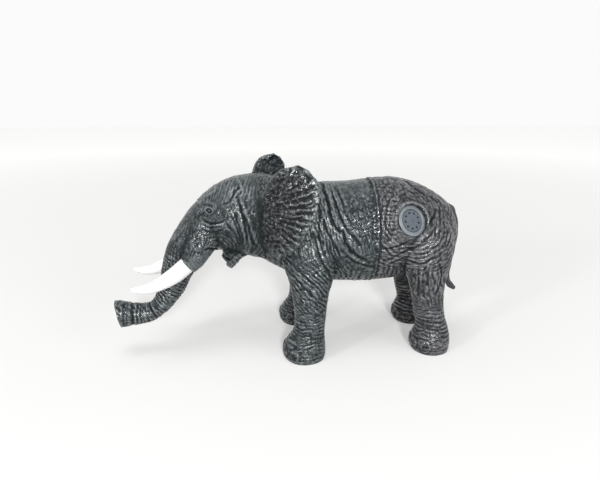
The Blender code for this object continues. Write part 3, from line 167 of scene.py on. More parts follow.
# Tusk: along, down, splay, diameter
TUSK_START_SHARE, TUSK_HEIGHT_SHARE = 0.882, 0.570
TUSK_SHARES = (
    (0.000, 0.000, 0.00, 0.85), (0.125, 0.096, 0.10, 1.00), (0.304, 0.227, 0.22, 0.98),
    (0.500, 0.325, 0.42, 0.84), (0.705, 0.390, 0.66, 0.66), (0.884, 0.388, 0.88, 0.44),
    (0.993, 0.363, 1.00, 0.16),
)
# Tail: out from the rump, down, diameter
TAIL_START_SHARE = 0.798
TAIL_SHARES = (
    (-0.142, -0.045, 0.90), (-0.060, 0.001, 1.00), (-0.014, 0.097, 1.00), (0.018, 0.237, 1.00),
    (0.014, 0.384, 1.00), (0.000, 0.525, 0.95), (-0.015, 0.650, 0.90), (-0.027, 0.761, 0.90),
    (-0.022, 0.861, 1.00), (0.015, 0.932, 1.20), (0.072, 0.980, 0.75),
)
print("rows of the leg tables:", len(FRONT_LEG_SHARES), len(HIND_LEG_SHARES))

# %% [markdown]
# ## Camera
# The camera stands where the photograph was taken from: a little above the animal, looking down at
# its left side. Its height, distance and tilt were found by lining up the feet, the unit and the
# trunk's tip. A real camera position keeps the foreshortening of the legs right, which an orthographic
# view would lose.
# %% Place the camera
CAMERA_HEIGHT = 0.23652
CAMERA_DISTANCE = 0.454425
CAMERA_TILT = math.radians(17.7)
CAMERA_SWING = math.radians(4.6)
CAMERA_LENS = 28.8
swing = Matrix.Rotation(-CAMERA_SWING, 4, "Z")
lens = bpy.data.cameras.new("camera")
lens.lens = CAMERA_LENS
camera = bpy.data.objects.new("camera", lens)
bpy.context.scene.collection.objects.link(camera)
camera.matrix_world = (Matrix.Translation(Vector(shift)) @ swing
                       @ Matrix.Translation((0.0, -CAMERA_DISTANCE, CAMERA_HEIGHT))
                       @ Matrix.Rotation(math.pi / 2 - CAMERA_TILT, 4, "X"))
bpy.context.scene.camera = camera
print("camera at", [round(x, 3) for x in camera.matrix_world.translation])

# %% [markdown]
# ## Smooth rows and ellipses
# A table has few rows, and the skin needs many. Each column is read off the curve that runs smoothly
# through its values, and each row becomes an ellipse. All rows are worked out at once as one array.
# %% Rows and rings
ROW_STEPS = 8
RING_SIDES = 64


def unit_length(vectors):
    """The same directions, each made one long."""
    return vectors / np.linalg.norm(vectors, axis=-1, keepdims=True)


def way_along(path):
    """How far each point of a path lies from its start, measured along it."""
    return np.concatenate([[0.0], np.cumsum(np.linalg.norm(np.diff(path, axis=0), axis=1))])


def rows_at(at, place, rows):
    """Every column of the rows, read off at new places."""
    return np.stack([np.interp(at, place, column) for column in rows.T], axis=1)


def smooth_rows(rows, between=ROW_STEPS):
    """Rows with more of them between: each stretch is the cubic with the Catmull-Rom slopes at its ends."""
    rows = np.array(rows, dtype=float)
    padded = np.vstack([2 * rows[0] - rows[1], rows, 2 * rows[-1] - rows[-2]])
    a, b, c, d = (padded[k:k + len(rows) - 1, None] for k in range(4))
    t = (np.arange(between) / between)[None, :, None]
    curve = 0.5 * (2 * b + (c - a) * t + (2 * a - 5 * b + 4 * c - d) * t ** 2 + (3 * b - a - 3 * c + d) * t ** 3)
    return np.vstack([curve.reshape(-1, rows.shape[1]), rows[-1]])


def rings_of(fronts, backs, sides, bow=0.0, count=RING_SIDES):
    """Ellipses: middle of front and back, plus cosine of the angle forwards and sine of it sideways."""
    angle = np.linspace(0.0, 2 * math.pi, count, endpoint=False)
    across, along = np.sin(angle), np.cos(angle)
    centre, reach = (fronts + backs) / 2, (fronts - backs) / 2
    rings = centre[:, None] + reach[:, None] * along[None, :, None] + sides[:, None] * across[None, :, None]
    return rings + bow * unit_length(sides)[:, None] * (1 - along ** 2)[None, :, None]


def upright_rows(front_x, front_z, back_x, back_z, half_width, middle_y=0.0):
    """Front, back and side vectors of ellipses that lie across the animal."""
    level = np.zeros_like(front_x)
    return (np.stack([front_x, level + middle_y, front_z], axis=1),
            np.stack([back_x, level + middle_y, back_z], axis=1),
            np.stack([level, half_width, level], axis=1))


def tube_rows(path, diameters, first_side=(0.0, 1.0, 0.0)):
    """Front, back and side vectors of a round tube: radius along the two normals of the path."""
    tangent = unit_length(np.gradient(path, axis=0))
    side = unit_length(np.array(first_side) - tangent * (tangent @ np.array(first_side))[:, None])
    up = np.cross(side, tangent)
    radius = (diameters / 2)[:, None]
    return path + up * radius, path - up * radius, side * radius


def inset_rows(fronts, backs, sides, inset):
    """The same ellipses drawn in by a wall all round and at both ends."""
    centre = (fronts + backs) / 2
    place = way_along(centre)
    start, end = 2 * inset, place[-1] - inset
    at = np.concatenate([[start], place[(place > start) & (place < end)], [end]])
    centre, reach, sides = (rows_at(at, place, rows) for rows in (centre, (fronts - backs) / 2, sides))
    height, width = np.linalg.norm(reach, axis=1), np.linalg.norm(sides, axis=1)
    hollow = (height > 2 * inset) & (width > 2 * inset)
    reach = (reach * (1 - inset / height)[:, None])[hollow]
    sides = (sides * (1 - inset / width)[:, None])[hollow]
    return centre[hollow] + reach, centre[hollow] - reach, sides


print("torso rows:", len(smooth_rows(TORSO_SHARES)))

# %% [markdown]
# ## A mesh from rings
# Rings become a skin by joining each one to the next with quads and closing both ends with a fan.
# The corner numbers follow a rule, so the faces are worked out as one array as well.
# %% Mesh helpers
def loft_faces(rows, count, base=0):
    """Quads between neighbouring rings, and fans round two added end points."""
    here = base + np.arange((rows - 1) * count).reshape(rows - 1, count)
    beside = np.roll(here, -1, axis=1)
    quads = np.stack([here, beside, beside + count, here + count], axis=-1).reshape(-1, 4)
    first = base + np.arange(count)
    last = first + (rows - 1) * count
    start, end = base + rows * count, base + rows * count + 1
    fans = np.vstack([np.stack([np.roll(first, -1), first, np.full(count, start)], axis=1),
                      np.stack([last, np.roll(last, -1), np.full(count, end)], axis=1)])
    return quads, fans


def mesh_of_rings(name, ring_sets):
    """One mesh of closed lofts, with its faces turned outwards."""
    points, faces, base = [], [], 0
    for rings in ring_sets:
        quads, fans = loft_faces(*rings.shape[:2], base)
        points += [rings.reshape(-1, 3), rings[0].mean(axis=0)[None], rings[-1].mean(axis=0)[None]]
        faces += quads.tolist() + fans.tolist()
        base += rings.shape[0] * rings.shape[1] + 2
    mesh = bpy.data.meshes.new(name)
    mesh.from_pydata(np.vstack(points), [], faces)
    return outward(mesh)


def outward(mesh, merge=0.0):
    """Point a closed mesh's faces outwards, after joining corners that lie within a distance."""
    shape = bmesh.new()
    shape.from_mesh(mesh)
    if merge:
        bmesh.ops.remove_doubles(shape, verts=shape.verts, dist=merge)
    bmesh.ops.recalc_face_normals(shape, faces=shape.faces)
    shape.to_mesh(mesh)
    shape.free()
    return mesh


def object_of(name, mesh):
    made = bpy.data.objects.new(name, mesh)
    bpy.context.scene.collection.objects.link(made)
    return made


def loft(name, *ring_sets):
    return object_of(name, mesh_of_rings(name, ring_sets))


def object_from(name, shape):
    """An object made of a bmesh, which is freed."""
    mesh = bpy.data.meshes.new(name)
    shape.to_mesh(mesh)
    shape.free()
    return object_of(name, mesh)


def remove(*helpers):
    for helper in helpers:
        bpy.data.objects.remove(helper)


def settle(made):
    """Turn what an object's modifiers make into its mesh."""
    bpy.context.view_layer.update()
    mesh = bpy.data.meshes.new_from_object(made.evaluated_get(bpy.context.evaluated_depsgraph_get()))
    made.modifiers.clear()
    made.data = mesh
    return made


def combine(made, other, operation="DIFFERENCE"):
    """Cut with another object, or keep what lies in both, and settle the result."""
    step = made.modifiers.new(operation.lower(), "BOOLEAN")
    step.operation = operation
    step.object = other
    return settle(made)


def points_of(mesh, what="co"):
    """The mesh's corners, or their normals, as rows of three numbers."""
    source = mesh.vertices if what == "co" else mesh.vertex_normals
    values = np.zeros(len(mesh.vertices) * 3, np.float32)
    source.foreach_get("co" if what == "co" else "vector", values)
    return values.reshape(-1, 3).astype(float)


def put_points(mesh, points):
    mesh.vertices.foreach_set("co", points.astype(np.float32).ravel())
    mesh.update()


def put_attribute(mesh, name, values):
    """A number for each corner, which the material can read by its name."""
    layer = mesh.attributes.get(name) or mesh.attributes.new(name, "FLOAT", "POINT")
    layer.data.foreach_set("value", np.asarray(values, np.float32))


# %% [markdown]
# ## Forms of the animal
# Torso, head with trunk, jaw, lips, cheeks, legs and ears each come from their table. The head is
# drawn straight first and then turned to the animal's left about an upright line in the neck.
# %% Forms from the tables
def turn_head(points, way=1, rigid=False, bent=None):
    """Turn about the neck: by the whole angle beyond the bend, by an eased share of it within the bend.
    The share follows from the points, or from the places in bent."""
    beyond = np.clip(-(points if bent is None else bent)[..., 0] / NECK_BEND_LENGTH, 0.0, 1.0)
    share = np.ones_like(beyond) if rigid else beyond ** 2 * (3 - 2 * beyond)
    angle = way * HEAD_TURN * share
    across, along = points[..., 1], points[..., 0] + NECK_PIVOT
    turned = points.copy()
    turned[..., 0] = along * np.cos(angle) - across * np.sin(angle) - NECK_PIVOT
    turned[..., 1] = along * np.sin(angle) + across * np.cos(angle)
    return turned


def head_point(along_share, height_share):
    return -HEAD_START - along_share * HEAD_LENGTH, height_share * CROWN_HEIGHT


def torso_table():
    """Place, top, bottom and half width along the torso, in metres."""
    rows = smooth_rows(TORSO_SHARES)
    return (rows[:, 0] * TORSO_LENGTH - CHEST_REACH, rows[:, 1] * BACK_HEIGHT, rows[:, 2] * BACK_HEIGHT,
            rows[:, 3] * TORSO_WIDTH / 2)


def torso_rows():
    place, top, bottom, half_width = torso_table()
    return upright_rows(place, top, place, bottom, half_width)


def head_rows():
    """Head and trunk in one form: the trunk's table goes on from the head's last row."""
    head, trunk = np.array(HEAD_SHARES), np.array(TRUNK_SHARES)
    top_x, top_z = head_point(head[:, 0], head[:, 1])
    low_x, low_z = head_point(head[:, 2], head[:, 3])
    brow_x, brow_z = top_x[-1], top_z[-1]
    rows = np.stack([np.append(top_x, brow_x - trunk[:, 0] * TRUNK_REACH),
                     np.append(top_z, brow_z - trunk[:, 1] * TRUNK_DROP),
                     np.append(low_x, brow_x - trunk[:, 2] * TRUNK_REACH),
                     np.append(low_z, brow_z - trunk[:, 3] * TRUNK_DROP),
                     np.append(head[:, 4] * HEAD_WIDTH / 2, trunk[:, 4] * TRUNK_WIDTH / 2)], axis=1)
    return upright_rows(*smooth_rows(rows).T)


def along_head(shares, spread, diameter, side):
    """A tube beside the head's middle: path from along, up and out, diameter from the last column."""
    rows = smooth_rows(shares)
    x, z = head_point(rows[:, 0], rows[:, 1])
    return tube_rows(np.stack([x, side * rows[:, 2] * spread / 2, z], axis=1), rows[:, 3] * diameter)


def jaw_rows():
    rows = smooth_rows(JAW_SHARES)
    x, z = head_point(rows[:, 0], rows[:, 1])
    fronts, backs, sides = tube_rows(np.stack([x, np.zeros_like(x), z], axis=1), rows[:, 2] * JAW_DEPTH)
    return fronts, backs, sides * JAW_WIDTH / JAW_DEPTH


LEGS = (
    (FRONT_LEG_SHARES, FRONT_LEG_PLACE, FRONT_LEG_SPACING, FRONT_LEG_HEIGHT, FRONT_LEG_WIDTH, SHOULDER_DRAW_IN),
    (HIND_LEG_SHARES, FRONT_LEG_PLACE + WHEELBASE, HIND_LEG_SPACING, HIND_LEG_HEIGHT, HIND_LEG_WIDTH, HIP_DRAW_IN),
)


def leg_rows(side, shares, place, spacing, height, width, draw_in):
    rows = smooth_rows(shares)
    level = rows[:, 0] * height
    return upright_rows(place + rows[:, 1] * FOOT_LENGTH / 2, level, place + rows[:, 2] * FOOT_LENGTH / 2, level,
                        rows[:, 3] * width / 2, side * (spacing / 2 - rows[:, 4] * draw_in))


def ear_rows(side):
    """Ear as thin ellipses from root to edge: the thickness points square to the ear's own face."""
    rows = smooth_rows(EAR_SHARES)
    start_x, start_z = head_point(EAR_START_SHARE, EAR_FOOT_SHARE)
    root = np.stack([start_x + rows[:, 0] * EAR_LENGTH, side * rows[:, 4] * EAR_ROOT_SPREAD,
                     start_z + rows[:, 1] * EAR_HEIGHT], axis=1)
    edge = np.stack([start_x + rows[:, 2] * EAR_LENGTH, side * (EAR_ROOT_SPREAD + rows[:, 5] * EAR_FLARE),
                     start_z + rows[:, 3] * EAR_HEIGHT], axis=1)
    across = unit_length(np.cross(edge - root, np.gradient((root + edge) / 2, axis=0)))
    across *= np.sign(across[:, 1] * side)[:, None]
    return edge, root, across * (rows[:, 6] * EAR_THICKNESS / 2)[:, None]


def animal_rings(inset=0.0):
    """Rings of the whole animal, or of the hollow inside its skin."""
    def drawn(rows, in_head=False):
        rings = rings_of(*(inset_rows(*rows, inset) if inset else rows))
        return turn_head(rings) if in_head else rings

    sets = [drawn(torso_rows()), drawn(head_rows(), True), drawn(jaw_rows(), True)]
    for side in (-1, 1):
        sets += [drawn(leg_rows(side, *leg)) for leg in LEGS]
        sets.append(drawn(along_head(CHEEK_SHARES, TUSK_SPREAD, CHEEK_DIAMETER, side), True))
        if not inset:
            sets += [drawn(along_head(LIP_SHARES, LIP_SPACING, LIP_DIAMETER, side), True),
                     turn_head(rings_of(*ear_rows(side), EAR_BOW), rigid=True)]
    return sets


print("forms:", len(animal_rings()), "and hollows:", len(animal_rings(SKIN_WALL)))

# %% [markdown]
# ## One skin over all forms
# The lofts overlap like clay rolls on an armature. A voxel remesh melts them into a single closed
# skin with even faces, and smoothing rounds the joins the way a sculptor's thumb does. The grain is
# fine, because the folds of the skin are pressed into this mesh afterwards.
# %% Melt the forms together
SKIN_GRAIN = 0.78 * MM
HOLLOW_GRAIN, HOLLOW_KEEP_SHARE = 1.7 * MM, 0.1
JOIN_SOFTNESS = 2.4 * MM


def melted(name, ring_sets, grain, keep_share=1.0):
    """One closed skin round several lofts; smoothing passes follow from how far the joins are softened."""
    made = loft(name, *ring_sets)
    remesh = made.modifiers.new("one skin", "REMESH")
    remesh.mode = "VOXEL"
    remesh.voxel_size = grain
    smooth = made.modifiers.new("soft joins", "SMOOTH")
    smooth.factor = 0.5
    smooth.iterations = round((JOIN_SOFTNESS / grain) ** 2 / smooth.factor)
    if keep_share < 1.0:
        made.modifiers.new("fewer faces", "DECIMATE").ratio = keep_share
    return settle(made)


skin = melted("skin form", animal_rings(), SKIN_GRAIN)
hollow = melted("skin hollow", animal_rings(SKIN_WALL), HOLLOW_GRAIN, HOLLOW_KEEP_SHARE)
rest = points_of(skin.data)
facing = points_of(skin.data, "normal")
print("skin corners:", len(rest), "hollow corners:", len(hollow.data.vertices))

# %% [markdown]
# ## Noise, easing and folds
# Folds in a cast skin are never straight or even. A few small helpers draw them all: a cloud of smooth
# noise that bends and fades them, repeated stripes with narrow valleys between round ridges, soft
# edges, and the distance to a line that is drawn in the side view.
# %% Pattern helpers
NOISE_TABLE = np.random.default_rng(7).uniform(-1.0, 1.0, 4096)
NOISE_MIXERS = np.array([73856093, 19349663, 83492791])
SEED_STEP = 17.3


def cloud(points, size, seed=0):
    """Smooth noise from -1 to 1: random values at the corners of cubes, blended with eased weights."""
    place = points / size + seed * SEED_STEP
    cell = np.floor(place).astype(np.int64)
    part = place - cell
    part = part * part * (3 - 2 * part)
    total = np.zeros(len(points))
    for corner in range(8):
        step = np.array([corner & 1, corner >> 1 & 1, corner >> 2])
        key = ((cell + step) * NOISE_MIXERS).sum(axis=1) & len(NOISE_TABLE) - 1
        total += NOISE_TABLE[key] * np.abs(1 - step - part).prod(axis=1)
    return total


def ease(value, start, end):
    """0 before start, 1 after end, and a smooth rise between."""
    t = np.clip((value - start) / (end - start), 0.0, 1.0)
    return t * t * (3 - 2 * t)


def window(value, low, high, soft):
    """1 between low and high, fading to 0 over a soft edge on both sides."""
    return ease(value, low - soft, low + soft) * (1 - ease(value, high - soft, high + soft))


def furrows(phase, narrow=3.0):
    """1 along each whole number of the phase, and 0 between: the cosine of it, raised to a power."""
    return np.abs(np.cos(math.pi * phase)) ** narrow


def bell(distance, width):
    """1 at no distance, and falling off on both sides over a width."""
    return np.exp(-(distance / width) ** 2)


def line_distance(across, up, path):
    """Distance from points to a bent line in the side view, and how far along it each one lies, 0 to 1."""
    path = smooth_rows(path, 4)
    steps, starts = np.diff(path, axis=0), way_along(path)
    best, place = np.full(len(across), np.inf), np.zeros(len(across))
    for start, step, length, before in zip(path, steps, np.linalg.norm(steps, axis=1), starts):
        t = np.clip(((across - start[0]) * step[0] + (up - start[1]) * step[1]) / length ** 2, 0.0, 1.0)
        distance = np.hypot(across - start[0] - t * step[0], up - start[1] - t * step[1])
        closer = distance < best
        best = np.where(closer, distance, best)
        place = np.where(closer, before + t * length, place)
    return best, place / starts[-1]


print("noise at the first corners:", np.round(cloud(rest[:3] / MM, 4.0), 2))

# %% [markdown]
# ## Where each corner lies
# The folds are drawn in millimetres, in the side view. The head's folds are drawn on the head before
# it is turned, so each corner is also turned back. Near the trunk and the ears a corner needs to know
# how far along the trunk it lies, or how deep in the ear: it asks the nearest point of their rows.
# %% Coordinates of the corners
TURN_BACK_ROUNDS = 4
SIDEWAYS = (0.15, 0.55)
TRUNK_FROM, TRUNK_HALF_REACH, TRUNK_LEAD = -96.0, 26.0, 4
EAR_STEPS, EAR_LOWEST, EAR_MIDDLE, EAR_REACH, EAR_INNER_SIDE = 24, 88.0, -25.0, 45.0, 20.0
EAR_NEAR, EAR_ROOT_FADE = (3.0, 5.0), (0.04, 0.16)


def nearest(points, samples, chunk=4000):
    """Number of the closest sample to each point, and the distance to it, worked out in chunks."""
    number, distance = np.zeros(len(points), int), np.zeros(len(points))
    for start in range(0, len(points), chunk):
        block = points[start:start + chunk]
        square = ((block[:, None] - samples[None]) ** 2).sum(axis=2)
        number[start:start + chunk] = square.argmin(axis=1)
        distance[start:start + chunk] = np.sqrt(square.min(axis=1))
    return number, distance


def turned_back(points):
    """Points of the turned head where they were before the turn, found in a few rounds."""
    straight = points
    for _ in range(TURN_BACK_ROUNDS):
        straight = turn_head(points, -1, bent=straight)
    return straight


body, head = rest / MM, turned_back(rest) / MM
x, y, z = body.T
head_x, head_y, head_z = head.T
flank = ease(np.abs(facing[:, 1]), *SIDEWAYS)

trunk_fronts, trunk_backs, _ = head_rows()
trunk_line = (trunk_fronts + trunk_backs)[(len(HEAD_SHARES) - 1) * ROW_STEPS - TRUNK_LEAD:] / 2 / MM
trunk_length = way_along(trunk_line)
in_trunk = np.flatnonzero((head_x < TRUNK_FROM) & (np.abs(head_y) < TRUNK_HALF_REACH))
number, _ = nearest(head[in_trunk], trunk_line)
trunk_place = np.full(len(rest), -1.0)
trunk_place[in_trunk] = trunk_length[number]
tangent = unit_length(np.gradient(trunk_line, axis=0))
trunk_place[in_trunk] += ((head[in_trunk] - trunk_line[number]) * tangent[number]).sum(axis=1)
print("trunk is", round(trunk_length[-1], 1), "mm long")

ear_share, ear_depth, ear_drop = (np.zeros(len(rest)) for _ in range(3))
across = np.linspace(0.0, 1.0, EAR_STEPS)
for ear_side in (-1, 1):
    edge, root, thick = ear_rows(ear_side)
    sheet = root[:, None] + (edge - root)[:, None] * across[None, :, None]
    sheet += EAR_BOW * unit_length(thick)[:, None] * (1 - (2 * across - 1) ** 2)[None, :, None]
    sheet = turn_head(sheet, rigid=True) / MM
    close = np.flatnonzero((y * ear_side > EAR_INNER_SIDE) & (z > EAR_LOWEST)
                           & (np.abs(x - EAR_MIDDLE) < EAR_REACH))
    number, distance = nearest(body[close], sheet.reshape(-1, 3), 2000)
    ear_share[close] = 1 - ease(distance, *EAR_NEAR)
    ear_depth[close] = across[number % len(across)]
    ear_drop[close] = (number // len(across)) / (len(sheet) - 1)
ear_share *= ease(ear_depth, *EAR_ROOT_FADE)
print("corners in the ears:", int((ear_share > 0.5).sum()))

# %% [markdown]
# ## Folds all over the body
# Old elephants have folds everywhere, and each region has its own: rings round the legs, arcs over
# the hip, long hanging folds at the shoulder. Every cell below presses one kind of fold into a height
# map over the corners. A displacement texture could do this too, but only a map that knows the region
# can turn its folds with the body.
# %% Network of fine folds
CREASE_REACH, CREASE_WAVE, CREASE_END, CREASE_FADE = 4, 0.5, 0.02, 0.15
PATCHY, NECK_SPAN = (-0.5, 0.4), (-50.0, -42.0)
height = np.zeros(len(rest))
drift, ripple, wobble = (cloud(body, size, seed) for size, seed in ((11.0, 1), (6.0, 2), (9.0, 8)))


def press(amount, depth):
    """Lower the skin by a depth in millimetres where the amount is 1."""
    height[:] = height - depth * amount


def stripes(way, spacing, drifting=0.0, rippling=0.0, wobbling=0.0, narrow=3.0):
    """Folds at a spacing along a way, bent by so many millimetres of each cloud."""
    return furrows((way + drifting * drift + wobbling * wobble + rippling * ripple) / spacing, narrow)


def crease(points, path, depth, width):
    """One fold along a line of the side view: deepest in its middle, fading at both ends."""
    path, reach = np.array(path, float), CREASE_REACH * width
    near = np.flatnonzero((points[:, [0, 2]] > path.min(axis=0) - reach).all(axis=1)
                          & (points[:, [0, 2]] < path.max(axis=0) + reach).all(axis=1))
    wave = CREASE_WAVE * width * cloud(points[near], 5.0, 3)
    distance, place = line_distance(points[near, 0] + wave, points[near, 2], path)
    starting, ending = ease(place, -CREASE_END, CREASE_FADE), ease(place, 1 - CREASE_FADE, 1 + CREASE_END)
    height[near] -= depth * bell(distance, width) * starting * (1 - ending)


patches = ease(cloud(body, 13.0, 4), *PATCHY)
broken = 0.3 + 0.7 * ease(cloud(body, 7.0, 12), *PATCHY)
plain, before_neck = 1 - ear_share, 1 - ease(head_x, *NECK_SPAN)
fewer = plain * (1 - 0.5 * before_neck)
press(fewer * patches * stripes(x + 0.25 * z, 3.7, drifting=3.5, rippling=1.2), 0.13)
press(fewer * (1 - 0.7 * patches) * stripes(z - 0.2 * x, 3.9, drifting=2.0, rippling=3.0), 0.15)
for size, seed, depth in ((7.0, 5, 0.26), (3.4, 6, 0.20)):
    press(cloud(body, size, seed), depth)
print("network, mean depth in mm:", round(float(-height.mean()), 2))

# %% [markdown]
# ## Legs
# A leg stands like a pillar in loose skin: rings that pile up above the foot, folds that run down
# aslant over the upper leg, a groove above the sole and round toenails at the front. Rings are stripes
# over the height, and the slanting folds are stripes over height and length together.
# %% Rings, slants and toes
FRONT_END, LOWER_LEG, RINGS_START = (55.0, 75.0), (38.0, 54.0), (11.0, 16.0)
SLANT_HEIGHTS, SLANT_END = (46.0, 96.0, 9.0), (36.0, 50.0)
SAG_HEIGHTS, SOLE_GROOVE = (52.0, 90.0, 8.0), (4.6, 5.4, 0.9)
FRONT_RING, HIND_RING, SLANT_FOLD, SAG_FOLD = 3.4, 3.7, 3.3, 4.4
NAIL_ANGLES, NAIL_WIDTH, NAIL_SWELL = (-62.0, -22.0, 18.0, 58.0), 17.0, 1.0
NAIL_TOP, NAIL_MIDDLE, NAIL_EDGE = (14.0, 17.0), 8.5, (0.65, 1.0)
at_front = 1 - ease(x, *FRONT_END)
at_rear = 1 - at_front
rings = stripes(z, np.where(at_front > 0.5, FRONT_RING, HIND_RING), drifting=1.6, rippling=1.1, narrow=2.5)
press(rings * (1 - ease(z, *LOWER_LEG)) * ease(z, *RINGS_START) * broken, 0.42)
slant = stripes(x + z, SLANT_FOLD * math.sqrt(2), drifting=3.0, rippling=1.2, narrow=2.5)
press(slant * broken * at_front * window(z, *SLANT_HEIGHTS) * (1 - ease(x, *SLANT_END)), 0.50)
sagging = stripes(x + 0.15 * z, SAG_FOLD, drifting=4.0, rippling=1.5, narrow=2.5)
press(sagging * broken * at_rear * window(z, *SAG_HEIGHTS), 0.50)
press(window(z, *SOLE_GROOVE), 0.55)

nail = np.zeros(len(rest))
for (_, place, spacing, *_), share in zip(LEGS, (at_front, at_rear)):
    turn = np.degrees(np.arctan2(np.abs(y) - spacing / 2 / MM, place / MM - x))
    for angle in NAIL_ANGLES:
        away = np.hypot((turn - angle) / NAIL_WIDTH, (z - NAIL_MIDDLE) / (NAIL_TOP[0] / 2))
        nail = np.maximum(nail, share * (1 - ease(away, *NAIL_EDGE)))
nail *= 1 - ease(z, *NAIL_TOP)
press(nail, -NAIL_SWELL)
print("corners in toenails:", int((nail > 0.5).sum()))

# %% [markdown]
# ## Flanks
# The shoulder hangs in long folds, and one deep fold swings from behind the ear down to the waist.
# Over the hip the folds run in arcs round the sound unit, and under it they sag. The long ones are
# drawn as lines in the side view, as a sculptor would scratch them first, and the arcs are
# stripes over the distance from the hip.
# %% Shoulder and hip
SHOULDER_FOLDS = (
    (((18, 166), (21, 158), (23, 146), (25, 134), (31, 126), (35, 123), (37, 114), (44, 105), (53, 98), (63, 93)),
     1.5, 1.9),
    (((26, 159), (30, 146), (36, 129), (46, 117), (54, 108)), 0.95, 1.5),
    (((37, 103), (45, 96), (56, 91), (64, 89)), 0.8, 1.2),
    (((12, 160), (14, 148), (15, 138), (13, 126), (16, 112), (20, 100)), 0.6, 1.1),
    (((31, 160), (35, 150), (37, 140), (43, 132)), 0.6, 1.1),
    (((17, 138), (19, 128), (24, 118), (29, 108), (34, 98)), 0.7, 1.2),
    (((10, 120), (12, 108), (16, 98), (22, 88), (24, 76), (22, 66)), 0.95, 1.5),
    (((27, 98), (29, 88), (30, 79)), 0.8, 1.2),
    (((-12, 88), (-6, 80), (3, 71), (10, 64)), 0.85, 1.5),
    (((-20, 104), (-10, 96), (0, 86), (9, 78)), 0.6, 1.2),
)
HIP_FOLDS = (
    (((67, 108), (77, 108), (87, 111), (96, 115), (106, 122), (120, 133), (125, 139)), 0.9, 1.3),
    (((72, 94), (85, 100), (99, 107), (110, 115), (121, 126)), 0.95, 1.5),
    (((75, 89), (91, 96), (105, 93), (119, 101)), 0.8, 1.3),
    (((97, 165), (105, 158), (122, 148), (132, 141), (139, 133), (143, 126)), 0.7, 1.2),
    (((90, 163), (99, 156), (107, 151), (114, 143)), 0.6, 1.1),
    (((88, 92), (95, 86), (101, 76), (103, 66)), 0.85, 1.5),
    (((108, 92), (113, 82), (114, 70)), 0.7, 1.3),
    (((122, 96), (127, 84), (126, 70), (122, 60)), 0.8, 1.3),
)
HIP, HIP_STRETCH, ARC_FOLD, ARC_START, THIGH_TOP = (98.0, 134.0), 1.05, 4.2, (19.0, 25.0), (76.0, 96.0)
WAIST_FOLD, WAIST_FOLD_END, WAIST_FOLD_HEIGHTS = 3.3, (80.0, 90.0), (112.0, 124.0)
CURTAIN_FOLD, CURTAIN_MIDDLE, CURTAIN_PLACES, CURTAIN_HEIGHTS = 3.0, 130.0, (6.0, 34.0, 8.0), (98.0, 160.0, 10.0)
SPECK_PLACES, SPECK_HEIGHTS = (38.0, 72.0, 5.0), (119.0, 146.0, 5.0)
BELLY_FOLD, DOWNWARDS, BELLY_HEIGHTS, BELLY_START = 5.0, (0.35, 0.8), (50.0, 60.0), (-45.0, -30.0)
for path, depth, width in SHOULDER_FOLDS + HIP_FOLDS:
    crease(body, path, depth, width)

from_hip = np.hypot(x - HIP[0], HIP_STRETCH * (z - HIP[1]))
arcs = stripes(from_hip, ARC_FOLD, drifting=1.8, rippling=0.9, narrow=2.5) * broken
above_thigh = ease(z, *THIGH_TOP)
press(arcs * at_rear * above_thigh * ease(from_hip, *ARC_START) * flank, 0.50)
beside_waist = at_rear * (1 - ease(x, *WAIST_FOLD_END)) * ease(z, *WAIST_FOLD_HEIGHTS)
press(stripes(z, WAIST_FOLD, drifting=2.4, rippling=1.0) * beside_waist, 0.28)

curtain = stripes(x + 0.3 * (z - CURTAIN_MIDDLE), CURTAIN_FOLD, drifting=2.2, narrow=2.5)
press(curtain * at_front * window(x, *CURTAIN_PLACES) * window(z, *CURTAIN_HEIGHTS) * plain, 0.34)
specked = window(x, *SPECK_PLACES) * window(z, *SPECK_HEIGHTS)
press(cloud(body, 2.6, 15) * specked, 0.14)
belly = ease(-facing[:, 2], *DOWNWARDS) * ease(z, *BELLY_HEIGHTS) * ease(head_x, *BELLY_START)
press(stripes(x, BELLY_FOLD, drifting=2.5) * belly, 0.35)
print("hand-drawn folds:", len(SHOULDER_FOLDS) + len(HIP_FOLDS))

